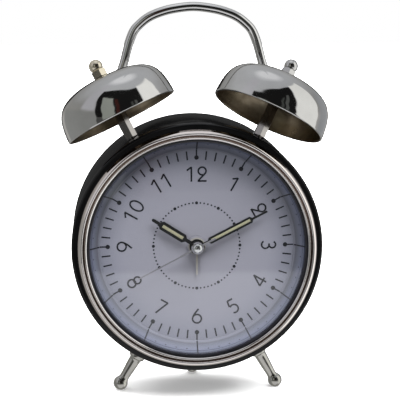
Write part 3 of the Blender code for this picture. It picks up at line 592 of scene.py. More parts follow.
def box_outline(x0, y0, x1, y1):
    return [(x0, y0), (x1, y0), (x1, y1), (x0, y1)]


def soft_box(x0, y0, x1, y1, fillet):
    """A box outline with rounded corners."""
    return rounded([(x, y, fillet) for x, y in box_outline(x0, y0, x1, y1)])


def arc(centre, radius, start, stop, steps=16):
    """Points along an arc, by angle in degrees."""
    turns = [math.radians(start + (stop - start) * i / steps) for i in range(steps + 1)]
    return [(centre[0] + radius * math.cos(t), centre[1] + radius * math.sin(t)) for t in turns]


def shaped(piece, *steps):
    """Cuts or joins each (mesh, operation, matrix) helper and keeps the result as a plain mesh."""
    helpers = []
    for mesh, operation, matrix in steps:
        helper = bpy.data.objects.new("helper", mesh)
        bpy.context.scene.collection.objects.link(helper)
        helper.matrix_world = matrix
        modifier = piece.modifiers.new("Shape", "BOOLEAN")
        modifier.operation, modifier.object, modifier.solver = operation, helper, "EXACT"
        helpers.append(helper)
    bpy.context.view_layer.update()
    result = bpy.data.meshes.new_from_object(piece.evaluated_get(bpy.context.evaluated_depsgraph_get()))
    piece.modifiers.clear()
    skin = piece.data.materials[0]
    piece.data = result
    result.materials.clear()
    result.materials.append(skin)
    for face in result.polygons:
        face.material_index = 0
    for helper in helpers:
        bpy.data.objects.remove(helper)
    return piece


def bevelled(piece, width, segments=2, angle=35):
    """Small round edges, as pressed or moulded pieces have."""
    edge = piece.modifiers.new("Edge", "BEVEL")
    edge.width, edge.segments = width, segments
    edge.limit_method, edge.angle_limit = "ANGLE", math.radians(angle)
    edge.harden_normals = True
    return piece


def tube_mesh(name, path, radius, sides=32):
    """A round rod along the path, with flat ends."""
    shape = bmesh.new()
    side = Vector((0, 1, 0))
    rows = []
    for i, point in enumerate(path):
        along = (path[min(i + 1, len(path) - 1)] - path[max(i - 1, 0)]).normalized()
        side = (side - along * side.dot(along)).normalized()
        other = along.cross(side)
        turns = [2 * math.pi * k / sides for k in range(sides)]
        around = [math.cos(t) * side + math.sin(t) * other for t in turns]
        rows.append([shape.verts.new(point + radius * way) for way in around])
    for above, below in zip(rows, rows[1:]):
        for i in range(sides):
            j = (i + 1) % sides
            shape.faces.new((above[i], above[j], below[j], below[i]))
    shape.faces.new(rows[0])
    shape.faces.new(rows[-1])
    return finished(shape, name)


# Case, glass and dial

def case_ring(name, corners, skin, segments, slot, node):
    """A turned ring about the dial's axis that is fixed to the case."""
    ring = turned(name, corners, skin, forward_frame(), segments, ring=True)
    settle(ring, "case", slot, node)


def case():
    """The drum with its rolled lip, the two-beaded bezel and the gasket round the glass."""
    radius, front, rear, wall = CASE_RADIUS / MM, CASE_FRONT / MM, CASE_BACK / MM, CASE_WALL / MM
    outer, inner, back = BEZEL_OUTER / MM, BEZEL_INNER / MM, BEZEL_BACK / MM
    drum = [(inner + wall, front, 0), (radius, front, 1.3), (radius, rear, 0.35), (radius - wall, rear, 0.3),
            (radius - wall, front - wall, 0.5), (inner + wall, front - wall, 0)]
    case_ring("drum_shell", drum, ENAMEL, 288, "case_paint", "case_drum")
    bezel = [(outer, back, 0.2), (inner, back, 0.2), (inner, back + 2.75, 0.45),
             (inner + 0.75, back + 3.35, 0.6), (inner + 1.45, back + 2.3, 0.25),
             (inner + 2.0, back + 3.95, 0.45), (outer - 0.75, back + 3.2, 1.6), (outer, back + 1.2, 1.2)]
    case_ring("bezel_ring", bezel, BEZEL_CHROME, 288, "chrome", "front_bezel")
    gasket = [(45.05, 8.9, 0.3), (46.0, 9.2, 0.3), (46.0, back, 0), (45.05, back, 0)]
    case_ring("gasket_ring", gasket, RUBBER, 256, "gasket_rubber", "lens_gasket")


def glass():
    """The domed glass, bent to one radius, with a short wall down into the bezel."""
    sag = LENS_TOP - LENS_EDGE
    bend = (LENS_RADIUS ** 2 + sag ** 2) / (2 * sag)
    inner = LENS_RADIUS - 0.8 * MM
    rings = 24
    outside, inside = [], []
    for points, edge, drop in ((outside, LENS_RADIUS, 0), (inside, inner, LENS_WALL)):
        for i in range(rings + 1):
            radius = edge * i / rings
            points.append((radius, LENS_TOP - drop - bend + math.sqrt(bend ** 2 - radius ** 2)))
    corner = [(LENS_RADIUS, LENS_EDGE - 0.4 * MM), (LENS_RADIUS, BEZEL_BACK), (inner, BEZEL_BACK)]
    outside[-1] = (LENS_RADIUS - 0.25 * MM, outside[-1][1])
    profile = outside + corner + inside[::-1]
    lens = add("lens_dome", lathe_mesh("lens_dome", profile, 192), GLASS, forward_frame())
    settle(lens, "case", "lens_glass", "lens")


def dial():
    """The flat plate with a hole for the hands' tubes, and the sloping ring round it."""
    plate = [(4.35, 0, 0.08), (46.5, 0, 0.08), (46.5, -0.6, 0), (4.35, -0.6, 0)]
    case_ring("dial_plate", plate, DIAL, 256, "dial_print", "dial")
    inner = RING_INNER / MM
    slope = [(46.2, 6.5, 0.1), (46.2, 0.3, 0), (inner, 0.3, 0.1), (inner, 0.75, 0.15),
             (RING_BEND / MM, RING_BEND_TOP / MM, 0.2), (RING_OUTER / MM, RING_TOP / MM, 0.15)]
    case_ring("dial_slope", slope, RING, 256, "ring_plastic", "dial_ring")


# Print on the dial

class Marks:
    """Flat printed shapes, gathered into one mesh."""

    def __init__(self):
        self.shape = bmesh.new()

    def raised(self, line, turn):
        """Two rows of corners: the line on the surface, and the same line on top of the ink."""
        return [[self.shape.verts.new(turn @ Vector((x * MM, y * MM, height))) for x, y in line]
                for height in (0.0, INK)]

    def face(self, outline, turn=IDENTITY):
        """A raised outline in the dial's plane, in millimetres."""
        low, high = self.raised(outline, turn)
        count = len(outline)
        self.shape.faces.new(high)
        for i in range(count):
            j = (i + 1) % count
            self.shape.faces.new((low[i], low[j], high[j], high[i]))
        self.shape.faces.new(low[::-1])

    def band(self, first, second, turn=IDENTITY, closed=False):
        """The strip between two matching lines of points."""
        inner_low, inner_high = self.raised(first, turn)
        outer_low, outer_high = self.raised(second, turn)
        count = len(first)
        for i in range(count if closed else count - 1):
            j = (i + 1) % count
            for a, b in ((inner_high, outer_high), (outer_low, inner_low), (inner_low, inner_high),
                         (outer_high, outer_low)):
                self.shape.faces.new((a[i], b[i], b[j], a[j]))
        if not closed:
            for i in (0, count - 1):
                self.shape.faces.new((inner_low[i], inner_high[i], outer_high[i], outer_low[i]))

    def stroke(self, line, half, turn=IDENTITY, closed=False):
        """A pen stroke of even width along a line of points."""
        points = [Vector(point) for point in line]
        count = len(points)
        left, right = [], []
        for i, point in enumerate(points):
            if closed:
                along = points[(i + 1) % count] - points[i - 1]
            else:
                along = points[min(i + 1, count - 1)] - points[max(i - 1, 0)]
            across = Vector((-along.y, along.x)).normalized() * half
            left.append(tuple(point + across))
            right.append(tuple(point - across))
        self.band(left, right, turn, closed)

    def done(self, name, skin):
        mesh = finished(self.shape, name)
        mesh.shade_flat()
        return add(name, mesh, skin, forward_frame())


def digit_strokes():
    """Plain geometric numerals, one unit high: (line of points, closed or not) for each stroke."""
    def ring(middle, across, up):
        turns = [2 * math.pi * i / 40 for i in range(40)]
        return [(across * math.cos(t), middle + up * math.sin(t)) for t in turns], True

    def pen(*points):
        return list(points), False

    tail = smooth_path([(-0.285, 0.38), (-0.22, 0.55), (-0.09, 0.75), (0.11, 0.99)], 6)
    six = [ring(0.325, 0.295, 0.29), pen(*tail)]
    return {
        "0": [ring(0.5, 0.285, 0.465)],
        "1": [pen((0.0, 0.0), (0.0, 0.985)), pen((0.0, 0.96), (-0.30, 0.74))],
        "2": [pen(*arc((0.01, 0.70), 0.255, 282, -32, 32), (-0.26, 0.05)), pen((-0.29, 0.04), (0.30, 0.04))],
        "3": [pen(*arc((0.0, 0.745), 0.215, 155, -88, 22), (-0.08, 0.525)),
              pen(*arc((0.0, 0.285), 0.25, 88, -152, 24))],
        "4": [pen((0.12, 0.0), (0.12, 0.98)), pen((0.12, 0.95), (-0.31, 0.25)),
              pen((-0.33, 0.25), (0.32, 0.25))],
        "5": [pen((0.22, 0.96), (-0.16, 0.96)), pen((-0.15, 0.97), (-0.22, 0.56)),
              pen(*arc((0.0, 0.31), 0.28, 132, -128, 24))],
        "6": six,
        "7": [pen((-0.27, 0.96), (0.27, 0.96)), pen((0.26, 0.97), (-0.14, 0.0))],
        "8": [ring(0.30, 0.265, 0.26), ring(0.725, 0.23, 0.23)],
        "9": [([(-x, 1 - y) for x, y in line], closed) for line, closed in six],
    }


def numerals(marks):
    """The hours, each square to its own radius, and the right way up in the lower half."""
    shapes = digit_strokes()
    middles = {"1": (0.14,), "10": (-0.37, 0.37), "11": (-0.22, 0.52), "12": (-0.34, 0.36)}
    for hour in range(1, 13):
        turn = clock_turn(30 * hour, NUMERAL_CIRCLE)
        if 4 <= hour <= 8:
            turn = turn @ Matrix.Rotation(math.pi, 4, "Z")
        digits = str(hour)
        for middle, digit in zip(middles.get(digits, (0.0,)), digits):
            for line, closed in shapes[digit]:
                scaled = [((x + middle) * NUMERAL_HEIGHT, (y - 0.5) * NUMERAL_HEIGHT) for x, y in line]
                marks.stroke(scaled, PEN, turn, closed)


def dial_print():
    """Minute strokes, hour dots with their lines, the numerals and the alarm scale's dots."""
    marks = Marks()
    for minute in range(60):
        turn = clock_turn(6 * minute)
        if minute % 5:
            marks.face(box_outline(-0.31, 36.6, 0.31, 40.3), turn)
        else:
            marks.face([(x, y + HOUR_DOT_CIRCLE) for x, y in polygon(28, 0.94)], turn)
            marks.face(box_outline(-0.29, 38.2, 0.29, RING_INNER / MM - 0.1), turn)
    for step in range(72):
        angle = -math.radians(5 * step)
        across, up = -ALARM_CIRCLE * math.sin(angle), ALARM_CIRCLE * math.cos(angle)
        dot = polygon(18, 0.37 if step % 6 else 0.66)
        marks.face([(x + across, y + up) for x, y in dot])
    numerals(marks)
    settle(marks.done("dial_marks", PRINT), "case", "dial_print")


def slope_print():
    """The hour lines go on up the sloping ring, with faint dots for the minutes between them."""
    lines, dots = Marks(), Marks()
    run, rise = RING_OUTER - RING_BEND, RING_TOP - RING_BEND_TOP
    length = math.hypot(rise, run) / MM
    slope = Matrix.Rotation(math.atan2(rise, run), 4, "X")
    foot = Matrix.Rotation(math.atan2(1.15, 1.1), 4, "X")
    for minute in range(60):
        turn = clock_turn(6 * minute, 42.1, 1.92) @ slope
        if minute % 5:
            dots.face([(x, y + 0.5 * length) for x, y in polygon(14, 0.30)], turn)
        else:
            lines.face(box_outline(-0.28, 0.1, 0.28, length - 0.2), turn)
            lines.face(box_outline(-0.29, 0.05, 0.29, 1.45), clock_turn(6 * minute, 41.05, 0.79) @ foot)
    settle(lines.done("slope_lines", PRINT), "case", "dial_print")
    settle(dots.done("slope_dots", FAINT_PRINT), "case", "dial_print")


# Hands

def spear_outline(hub, neck, belly, tip, start, stop, length):
    """A hand's outline: narrow neck, wide body with short shoulders, narrow tip with a round end."""
    slope = belly - neck
    right = [(neck, hub), (neck, start), (belly, start + slope), (belly, stop - slope), (tip, stop)]
    half = right + arc((0, length - tip), tip, 0, 75, 5) + [(0, length)]
    return metres(half + [(-x, y) for x, y in half[-2::-1]])


def hand(name, outline, hub, bore, low, thick, skin, angle, window=None):
    """A pressed hand: blade and hub joined, bore and window cut, edges rounded."""
    place = forward_frame(clockwise=angle)
    low, thick = low * MM, thick * MM
    piece = add(name, prism_mesh(name, outline, low, low + thick), skin, place)
    disc = prism_mesh("disc", polygon(64, hub * MM), low - 0.04 * MM, low + thick + 0.04 * MM)
    hole = prism_mesh("hole", polygon(48, bore * MM), low - MM, low + thick + MM)
    steps = [(disc, "UNION", place), (hole, "DIFFERENCE", place)]
    if window:
        half, start, stop = window
        slot = box_outline(-half * MM, start * MM, half * MM, stop * MM)
        steps.append((prism_mesh("slot", slot, low - MM, low + thick + MM), "DIFFERENCE", place))
    return bevelled(shaped(piece, *steps), 0.05 * MM)


def lume_bar(name, half, start, stop, low, thick, angle):
    """Luminous filling that bulges a little out of its window."""
    rows = 24
    shape = bmesh.new()
    grid = []
    for i in range(rows + 1):
        along = start + (stop - start) * i / rows
        row = []
        for k in range(7):
            across = -half + 2 * half * k / 6
            edge = min(along - start, stop - along, half - abs(across)) / half
            swell = 0.10 * math.sqrt(max(min(edge, 1), 0)) - 0.06
            row.append(shape.verts.new((across * MM, along * MM, (low + thick + swell) * MM)))
        grid.append(row)
    for a, b in zip(grid, grid[1:]):
        for k in range(6):
            shape.faces.new((a[k], a[k + 1], b[k + 1], b[k]))
    rim = [row[0] for row in grid] + grid[-1][1:-1] + [row[-1] for row in grid[::-1]] + grid[0][-2:0:-1]
    floor_rim = [shape.verts.new((v.co.x, v.co.y, low * MM)) for v in rim]
    for i in range(len(rim)):
        j = (i + 1) % len(rim)
        shape.faces.new((rim[i], rim[j], floor_rim[j], floor_rim[i]))
    shape.faces.new(floor_rim)
    return add(name, finished(shape, name), LUME, forward_frame(clockwise=angle))


def hands():
    """From the dial forward: alarm, hour, minute and second hand, then the cap."""
    alarm = spear_outline(0, 0.33, 0.38, 0.30, 5, 9, 12.3)
    pointer = hand("alarm_pointer", alarm, 3.6, 3.1, 0.9, 0.4, ALARM_SILVER_PAINTED_LIGHT, ALARM_ANGLE)
    settle(pointer, "alarm_drive", "silver", "alarm_hand")
    hour = spear_outline(0, 0.75, 1.85, 0.66, 5.5, 18.6, 22.3)
    minute = spear_outline(0, 0.55, 1.42, 0.42, 5.2, 26.2, 33.1)
    thick, side_gap, end_gap = 0.5, 0.04, 0.05
    for name, outline, hub, bore, low, angle, window in (
            ("hour", hour, 3.2, 2.3, 2.2, HOUR_ANGLE, (0.67, 6.95, 17.05)),
            ("minute", minute, 2.6, 1.55, 3.7, MINUTE_ANGLE, (0.57, 6.75, 24.95))):
        half, start, stop = window
        pointer = hand(name + "_pointer", outline, hub, bore, low, thick, HAND_BLACK, angle, window)
        settle(pointer, name + "_drive", "hand_paint", name + "_hand")
        bar = lume_bar(name + "_lume", half - side_gap, start + end_gap, stop - end_gap, low, thick, angle)
        settle(bar, name + "_drive", "lume", name + "_hand_lume")
    second = spear_outline(-8.5, 0.38, 0.42, 0.24, 4, 8, 28.0)
    pointer = hand("second_pointer", second, 1.8, 0.75, 5.2, 0.35, SILVER, SECOND_ANGLE)
    settle(pointer, "second_drive", "silver", "second_hand")
    dome = smooth_path([(0, 8.3), (0.9, 8.16), (1.75, 7.65), (2.35, 6.95), (2.6, 6.2)], 6)
    dome = metres(dome + [(2.6, 5.95), (2.4, 5.9), (0, 5.9)])
    cap = add("centre_cap", lathe_mesh("centre_cap", dome, 96), CAP_CHROME_PAINTED_LIGHT, forward_frame())
    settle(cap, "second_drive", "chrome", "second_hand_cap")


# Bells, handle and feet

def bell_axis(side):
    """The way a bell's post points."""
    return tilted(BELL_TILT, BELL_LEAN[side], SIDES[side])


def bell_base(side):
    return on_drum(SIDES[side] * BELL_STATION, BELL_Y)


def bell(side):
    """A pressed cup with a rolled rim: bright outside, dull inside."""
    shell = [(0.07, 1.0), (0.26, 0.973), (0.51, 0.93), (0.71, 0.845), (0.85, 0.72), (0.93, 0.565),
             (0.975, 0.37), (0.995, 0.16), (1.0, 0.03)]
    outside = [(r * BELL_RADIUS, h * BELL_HEIGHT) for r, h in shell]
    inside = [(r * (BELL_RADIUS - BELL_WALL), max(h * BELL_HEIGHT - BELL_WALL * min(1, 3 * h), 0.02 * MM))
              for r, h in shell]
    outside, inside = smooth_path(outside, 8), smooth_path(inside, 8)[::-1]
    lip = arc((BELL_RADIUS - BELL_WALL / 2, 0.5 * MM), BELL_WALL / 2, -15, -165, 8)
    profile = [tuple(point) for point in outside] + lip + [tuple(point) for point in inside]
    mesh = lathe_mesh("bell_cup_" + side, profile, 224, ring=True)
    mesh.materials.append(CHROME)
    mesh.materials.append(INSIDE)
    for face in mesh.polygons:
        away = face.normal.xy.dot(face.center.xy) < 0 or (face.normal.z < 0 and face.center.z > 1.5 * MM)
        face.material_index = int(away)
    place = aimed(bell_base(side) + bell_axis(side) * BELL_LIFT, bell_axis(side))
    settle(add("bell_cup_" + side, mesh, CHROME, place), "case", "chrome", "bell_" + side)


def hexagon_bar(name, across, low, high, chamfer, skin, matrix):
    """A hexagonal bar whose ends are turned to a chamfer; across is from its axis to a corner."""
    outline = polygon(6, across * MM, math.pi / 6)
    piece = add(name, prism_mesh(name, outline, low * MM, high * MM), skin, matrix)
    flat = across * math.cos(math.pi / 6)
    cone = [(0, high + 0.1), (flat, high + 0.1), (across + 0.1, high - chamfer),
            (across + 0.1, low + chamfer), (flat, low - 0.1), (0, low - 0.1)]
    mesh = lathe_mesh("cone", metres(cone), 64)
    return bevelled(shaped(piece, (mesh, "INTERSECT", matrix)), 0.12 * MM, 3, 20)


def bell_fittings(side):
    """The hexagonal post with its threaded end in the drum, and the ball-ended cap nut."""
    place = aimed(bell_base(side), bell_axis(side))
    crown = (BELL_LIFT + BELL_HEIGHT) / MM
    post = hexagon_bar("post_bar_" + side, 2.7, 0.2, crown - 1.3, 0.25, POST_CHROME_PAINTED_SHADE, place)
    thread, root, pitch = 1.3, 1.08, 0.34
    profile = [(0, 0.5), (thread, 0.5)]
    for i in range(13):
        profile += [(thread, 0.1 - pitch * i), (root, -0.07 - pitch * i)]
    stud = lathe_mesh("stud", metres(profile + [(0, -4.2)]), 32)
    shaped(post, (stud, "UNION", place))
    settle(post, "case", "chrome", "bell_post_" + side)
    base = crown + 0.15
    skin, slot = (PALE_BRASS, "pale_brass") if side == "left" else (CHROME, "chrome")
    cap = hexagon_bar("cap_nut_" + side, 3.25, base, base + 3.0, 0.3, skin, place)
    cap.modifiers.clear()
    ball, middle = 3.0, base + 4.85
    knob_end = [(0, middle + ball)] + arc((0, middle), ball, 84, -42, 24)
    knob_end += [(1.95, base + 2.6), (1.9, base + 2.2), (0, base + 2.2)]
    shaped(cap, (lathe_mesh("finial", metres(knob_end), 64), "UNION", place))
    bevelled(cap, 0.10 * MM, 2, 25)
    settle(cap, "case", slot, "bell_cap_nut_" + side)


def handle():
    """A bent rod; its lower ends sit a little further forward than the hoop."""
    half = [(0, 99.3), (9.0, 98.3), (15.2, 96.6), (19.6, 94.6), (23.0, 92.0), (25.6, 89.2), (27.3, 85.6),
            (28.6, 81.4), (30.2, 75.4), (31.6, 71.0), (33.0, 65.5), (33.6, 60.0), (33.1, 54.0),
            (31.4, 49.0), (29.0, 44.4), (26.6, 40.2)]
    foot, shoulder = half[-1][1], 54.0
    points = []
    for sign, run in ((-1, half[:0:-1]), (1, half)):
        for x, z in run:
            back = HANDLE_Y + HANDLE_SET * min((z - foot) / (shoulder - foot), 1)
            points.append((HANDLE_X + sign * x * MM, DIAL_Y + back, AXIS_HEIGHT + z * MM))
    rod = tube_mesh("handle_rod", smooth_path(points, 10), HANDLE_RADIUS, 40)
    settle(add("handle_rod", rod, HANDLE_CHROME_PAINTED_LIGHT), "case", "chrome", "handle")


def feet():
    """Turned legs: a collar at the drum, a waisted taper and a ball that is flat where it stands."""
    places = [("rear", on_drum(180, REAR_FOOT_Y), tilted(0, REAR_FOOT_LEAN, 1, up=-1))]
    for side, sign in SIDES.items():
        base = on_drum(sign * (180 - FOOT_STATION[side]), FOOT_Y)
        places.append((side, base, tilted(FOOT_SPLAY[side], 0, sign, up=-1)))
    ball, collar = FOOT_BALL / MM, 3.5
    for name, base, direction in places:
        reach = (base.z - 2.9 * MM) / -direction.z / MM
        radial = Vector((base.x, 0, base.z - AXIS_HEIGHT))
        seat = 0.4 + collar * math.tan(direction.angle(radial))
        waist = reach - ball * 0.93
        if reach > 12:
            taper = smooth_path([(2.05, waist), (2.08, reach - 4.2), (2.35, reach - 8), (2.62, 4.9)], 5)
        else:
            taper = [(2.1, waist), (2.4, reach - 4.6)]
        profile = [(0, reach + ball), *arc((0, reach), ball, 86, -40, 22), *taper]
        profile += [(2.9, 4.45), (3.38, 4.15), (collar, 3.85), (collar, seat + 0.25), (3.3, seat),
                    (1.4, seat), (1.4, -2.6), (0, -2.6)]
        leg = lathe_mesh("foot", metres(profile), 72)
        foot = add("foot_leg_" + name, leg, FOOT_CHROME_PAINTED_SHADE, aimed(base, direction))
        table = prism_mesh("table", box_outline(-0.1, -0.1, 0.1, 0.1), -0.02, 0)
        shaped(foot, (table, "DIFFERENCE", IDENTITY))
        foot.data.set_sharp_from_angle(angle=math.radians(40))
        settle(foot, "case", "chrome", "foot_" + name)


# Back cover, controls and battery

def toothed(count, radius, depth):
    """Outline of a wheel with plain teeth or ribs."""
    points = []
    for i in range(count):
        for part, reach in ((0.05, radius - depth), (0.30, radius), (0.70, radius), (0.95, radius - depth)):
            turn = 2 * math.pi * (i + part) / count
            points.append((reach * MM * math.cos(turn), reach * MM * math.sin(turn)))
    return points


def block(outline, low, high):
    """A helper prism from millimetres."""
    return prism_mesh("helper", metres(outline), low * MM, high * MM)


def cut(outline, low, high, place):
    """A step for shaped() that takes a prism away."""
    return block(outline, low, high), "DIFFERENCE", place


def screw_place(angle):
    """Where a cover screw is, by its angle clockwise from twelve."""
    turn = math.radians(angle)
    return forward_frame(SCREW_CIRCLE * MM * math.sin(turn), SCREW_CIRCLE * MM * math.cos(turn))


def back_cover():
    """Dished cover with a stepped rim, screw seats, vents and openings."""
    front, back = COVER_FRONT / MM, COVER_BACK / MM
    corners = [(0, front, 0), (48, front, 0), (48, -37.8, 0), (52.2, -37.8, 0.2), (52.2, -39.0, 0.5),
               (50, -39.0, 0.3), (49.3, back, 0.7), (0, back, 0)]
    place = forward_frame()
    cover = turned("cover_shell", corners, BLACK_PLASTIC, place, 256)
    steps = [cut(polygon(32, 1.9), -42, -37, forward_frame(x * MM)) for x in KNOBS]
    for angle in SCREW_ANGLES:
        seat = screw_place(angle)
        steps.append(cut(polygon(32, 1.5), -42, -37, seat))
        steps.append(cut(polygon(48, 3.4), -42, -40.1, seat))
    battery_opening = soft_box(-29, -35, 29, -16, 0.8)
    switch_slot = soft_box(-4.8, 25.2, 4.8, 28.8, 0.6)
    vents = [soft_box(x - 0.8, 18, x + 0.8, 30, 0.7) for x in (18, 22, 26, 30)]
    steps += [cut(opening, -42, -36, place) for opening in (battery_opening, switch_slot, *vents)]
    settle(bevelled(shaped(cover, *steps), 0.12 * MM), "case", "black_plastic", "back_cover")


def cover_print():
    """Pale arrows over the knobs, and a dot and a ring at the ends of the switch."""
    marks = Marks()
    level = COVER_BACK - INK
    for x, side in zip(KNOBS, (-1, 1)):         # which end of its arrow has the head
        hub = Matrix.Translation((x * MM, 0, level))
        marks.face(arc((0, 0), 9.3, 60, 120) + arc((0, 0), 8.7, 120, 60), hub)
        marks.face([(-6.4 * side, 6.7), (-5.05 * side, 8.75), (-3.95 * side, 6.85)], hub)
    marks.face(polygon(24, 0.9), Matrix.Translation((-8.2 * MM, 27 * MM, level)))
    marks.band(polygon(32, 1.0), polygon(32, 0.6), Matrix.Translation((8.2 * MM, 27 * MM, level)), True)
    settle(marks.done("cover_marks", PALE_PRINT), "case", "white_plastic")


def cover_screw(index, angle):
    """Pan head with a cross recess."""
    place = screw_place(angle)
    corners = [(0, -31.6, 0), (0.6, -31.6, 0), (0.9, -32.2, 0), (0.9, -40.35, 0), (2.6, -40.35, 0.1),
               (2.55, -41.1, 0.5), (1.5, -41.75, 0.8), (0, -41.85, 0)]
    screw = turned("cover_screw_head_%d" % index, corners, ZINC, place, 64)
    cross = [cut(box_outline(-x, -y, x, y), -43, -41.0, place) for x, y in ((0.28, 1.4), (1.4, 0.28))]
    settle(shaped(screw, *cross), "case", "plated_steel", "cover_screw_%d" % index)


def knob(name, x, teeth, radius, level, body, node):
    """A ribbed knob with a dished face, its shaft and the pinion inside the movement."""
    place = forward_frame(x * MM, 0)
    piece = add(name, prism_mesh(name, toothed(30, 6.6, 0.35), -48 * MM, -40.9 * MM), BLACK_PLASTIC, place)
    corners = [(0, -41.0, 0), (6.7, -41.0, 0.6), (6.7, -47.6, 1.3), (4.9, -47.9, 0.4), (4.5, -47.3, 0.4),
               (0, -47.2, 0)]
    envelope = lathe_mesh("envelope", turned_profile(corners), 96)
    top = level + 0.1
    shaft = lathe_mesh("shaft", metres([(0, top), (1.1, top), (1.1, -42), (0, -42)]), 32)
    pinion = prism_mesh("pinion", toothed(teeth, radius, 0.4), (level - 0.75) * MM, level * MM)
    shaped(piece, (envelope, "INTERSECT", place), (shaft, "UNION", place), (pinion, "UNION", place))
    settle(bevelled(piece, 0.07 * MM), body, "black_plastic", node)


def switch():
    """A slide with a grooved head; local X runs across and local Y towards the viewer."""
    place = forward_frame() @ Matrix(((1, 0, 0, 0), (0, 0, -1, 0), (0, 1, 0, 0), (0, 0, 0, 1)))
    half = [(3.2, -42.8), (3.2, -40.6), (2.0, -40.6), (2.0, -38.0), (4.5, -38.0), (4.5, -36.8)]
    outline = [(-2.5 + x, y) for x, y in half] + [(-2.5 - x, y) for x, y in half[::-1]]
    piece = add("switch_slide_button", block(outline, -28.5, -25.5), WHITE_PLASTIC, place)
    grooves = [cut(box_outline(x - 0.3, -43, x + 0.3, -42.2), -29, -25, place)
               for x in (-4.3, -3.1, -1.9, -0.7)]
    settle(bevelled(shaped(piece, *grooves), 0.12 * MM), "switch_body", "white_plastic", "alarm_switch")


def door():
    """The lid's section, rounded where it turns; local X runs up and local Y towards the viewer."""
    place = forward_frame() @ Matrix(((0, 0, 1, 0), (1, 0, 0, 0), (0, 1, 0, 0), (0, 0, 0, 1)))
    outline = [(-16.4, -40.3), (-16.4, -38.8)] + arc((-33.85, -39.55), 0.75, 90, 270, 16)
    piece = add("door_lid", block(outline, -28.6, 28.6), BLACK_PLASTIC, place)
    grips = [cut(box_outline(z, -41, z + 0.7, -39.8), -6, 6, place) for z in (-18.2, -19.5, -20.8)]
    settle(bevelled(shaped(piece, *grips), 0.14 * MM), "door_body", "black_plastic", "battery_door")


def battery():
    """Tray with two saddles, the cell, its coil spring and its dimpled leaf contact."""
    place = forward_frame()
    along = forward_frame(0, -25.5 * MM, -29.2 * MM) @ Matrix.Rotation(math.pi / 2, 4, "Y")
    walls = block(soft_box(-30.5, -36.2, 30.5, -14.8, 1), -38.0, -20.1)
    tray = add("tray_shell", walls, BLACK_PLASTIC, place)
    steps = [cut(soft_box(-29.3, -35, 29.3, -16, 0.6), -39, -21.3, place)]
    for x in (-13, 13):
        steps.append((block(box_outline(x - 0.6, -35.2, x + 0.6, -15.8), -26, -21), "UNION", place))
    steps.append(cut(polygon(64, 7.35), -24.9, 24.9, along))
    settle(bevelled(shaped(tray, *steps), 0.15 * MM), "case", "black_plastic", "battery_tray")
    corners = [(0, 25.5, 0), (2.6, 25.5, 0.4), (2.7, 24.6, 0.2), (6.2, 24.4, 0.2), (6.5, 24.5, 0.1),
               (7.1, 24.4, 0.4), (7.1, -24.5, 0.4), (6.5, -24.5, 0.1), (6.2, -24.2, 0.2), (0, -24.2, 0)]
    settle(turned("cell_jacket", corners, JACKET, along, 96), "case", "battery_jacket", "battery_cell")
    coil, points, coils = [], 96, 4
    for i in range(points + 1):
        share = i / points
        reach, turn = (2.0 + 2.5 * share) * MM, 2 * math.pi * coils * share
        coil.append(Vector((reach * math.cos(turn), reach * math.sin(turn), -(25.15 + 3.5 * share) * MM)))
    spring = add("spring_coil", tube_mesh("spring_coil", coil, 0.35 * MM, 12), ZINC, along)
    settle(spring, "case", "plated_steel", "battery_contact_spring")
    leaf = add("leaf_plate", block(soft_box(-5, -5, 5, 5, 0.8), 28.5, 29), ZINC, along)
    bump = metres([(0, 28.7), (3.0, 28.7), (2.6, 28.3), (1.7, 26.6), (0.9, 25.9), (0, 25.75)])
    shaped(leaf, (lathe_mesh("dimple", bump, 48), "UNION", along))
    settle(leaf, "case", "plated_steel", "battery_contact_leaf")


# Studio

def studio():
    """A pale floor and the camera."""
    ground = bmesh.new()
    bmesh.ops.create_grid(ground, x_segments=1, y_segments=1, size=3)
    skin = Skin("pale_floor", (0.86, 0.86, 0.85), 0.7)
    skin.colour(skin.spread(skin.noise(3, 2), 0.86, 0.88))
    skin.shader.inputs["Emission Color"].default_value = (1, 1, 1, 1)
    skin.shader.inputs["Emission Strength"].default_value = 0.25
    mesh = finished(ground, "floor")
    floor = add("floor", mesh, skin.material)
    floor.visible_glossy = False
    floor.visible_diffuse = False
    camera = bpy.data.objects.new("camera", bpy.data.cameras.new("camera"))
    bpy.context.scene.collection.objects.link(camera)
    left, away, above = 38.0 * MM, 600 * MM, 114.3 * MM
    camera.location = (-left, DIAL_Y - away, AXIS_HEIGHT + above)
    yaw, pitch, roll = math.radians(3.76), math.radians(8.96), math.radians(-0.14)
    camera.rotation_euler = (Matrix.Rotation(-yaw, 3, "Z") @ Matrix.Rotation(math.pi / 2 - pitch, 3, "X")
                             @ Matrix.Rotation(roll, 3, "Z")).to_euler()
    camera.data.lens = 130.4
    camera.data.sensor_width = 36
    camera.data.clip_start, camera.data.clip_end = 0.01, 20
    bpy.context.scene.camera = camera
    bpy.context.scene.view_settings.view_transform = "Standard"


def area(name, place, target, size, power):
    """A soft light; the plating doesn't mirror it."""
    lamp = bpy.data.objects.new(name, bpy.data.lights.new(name, "AREA"))
    bpy.context.scene.collection.objects.link(lamp)
    lamp.data.shape = "RECTANGLE"
    lamp.data.size, lamp.data.size_y = size
    lamp.data.energy = power
    lamp.location = place
    lamp.rotation_euler = (Vector(target) - Vector(place)).to_track_quat("-Z", "Y").to_euler()
    lamp.visible_glossy = False


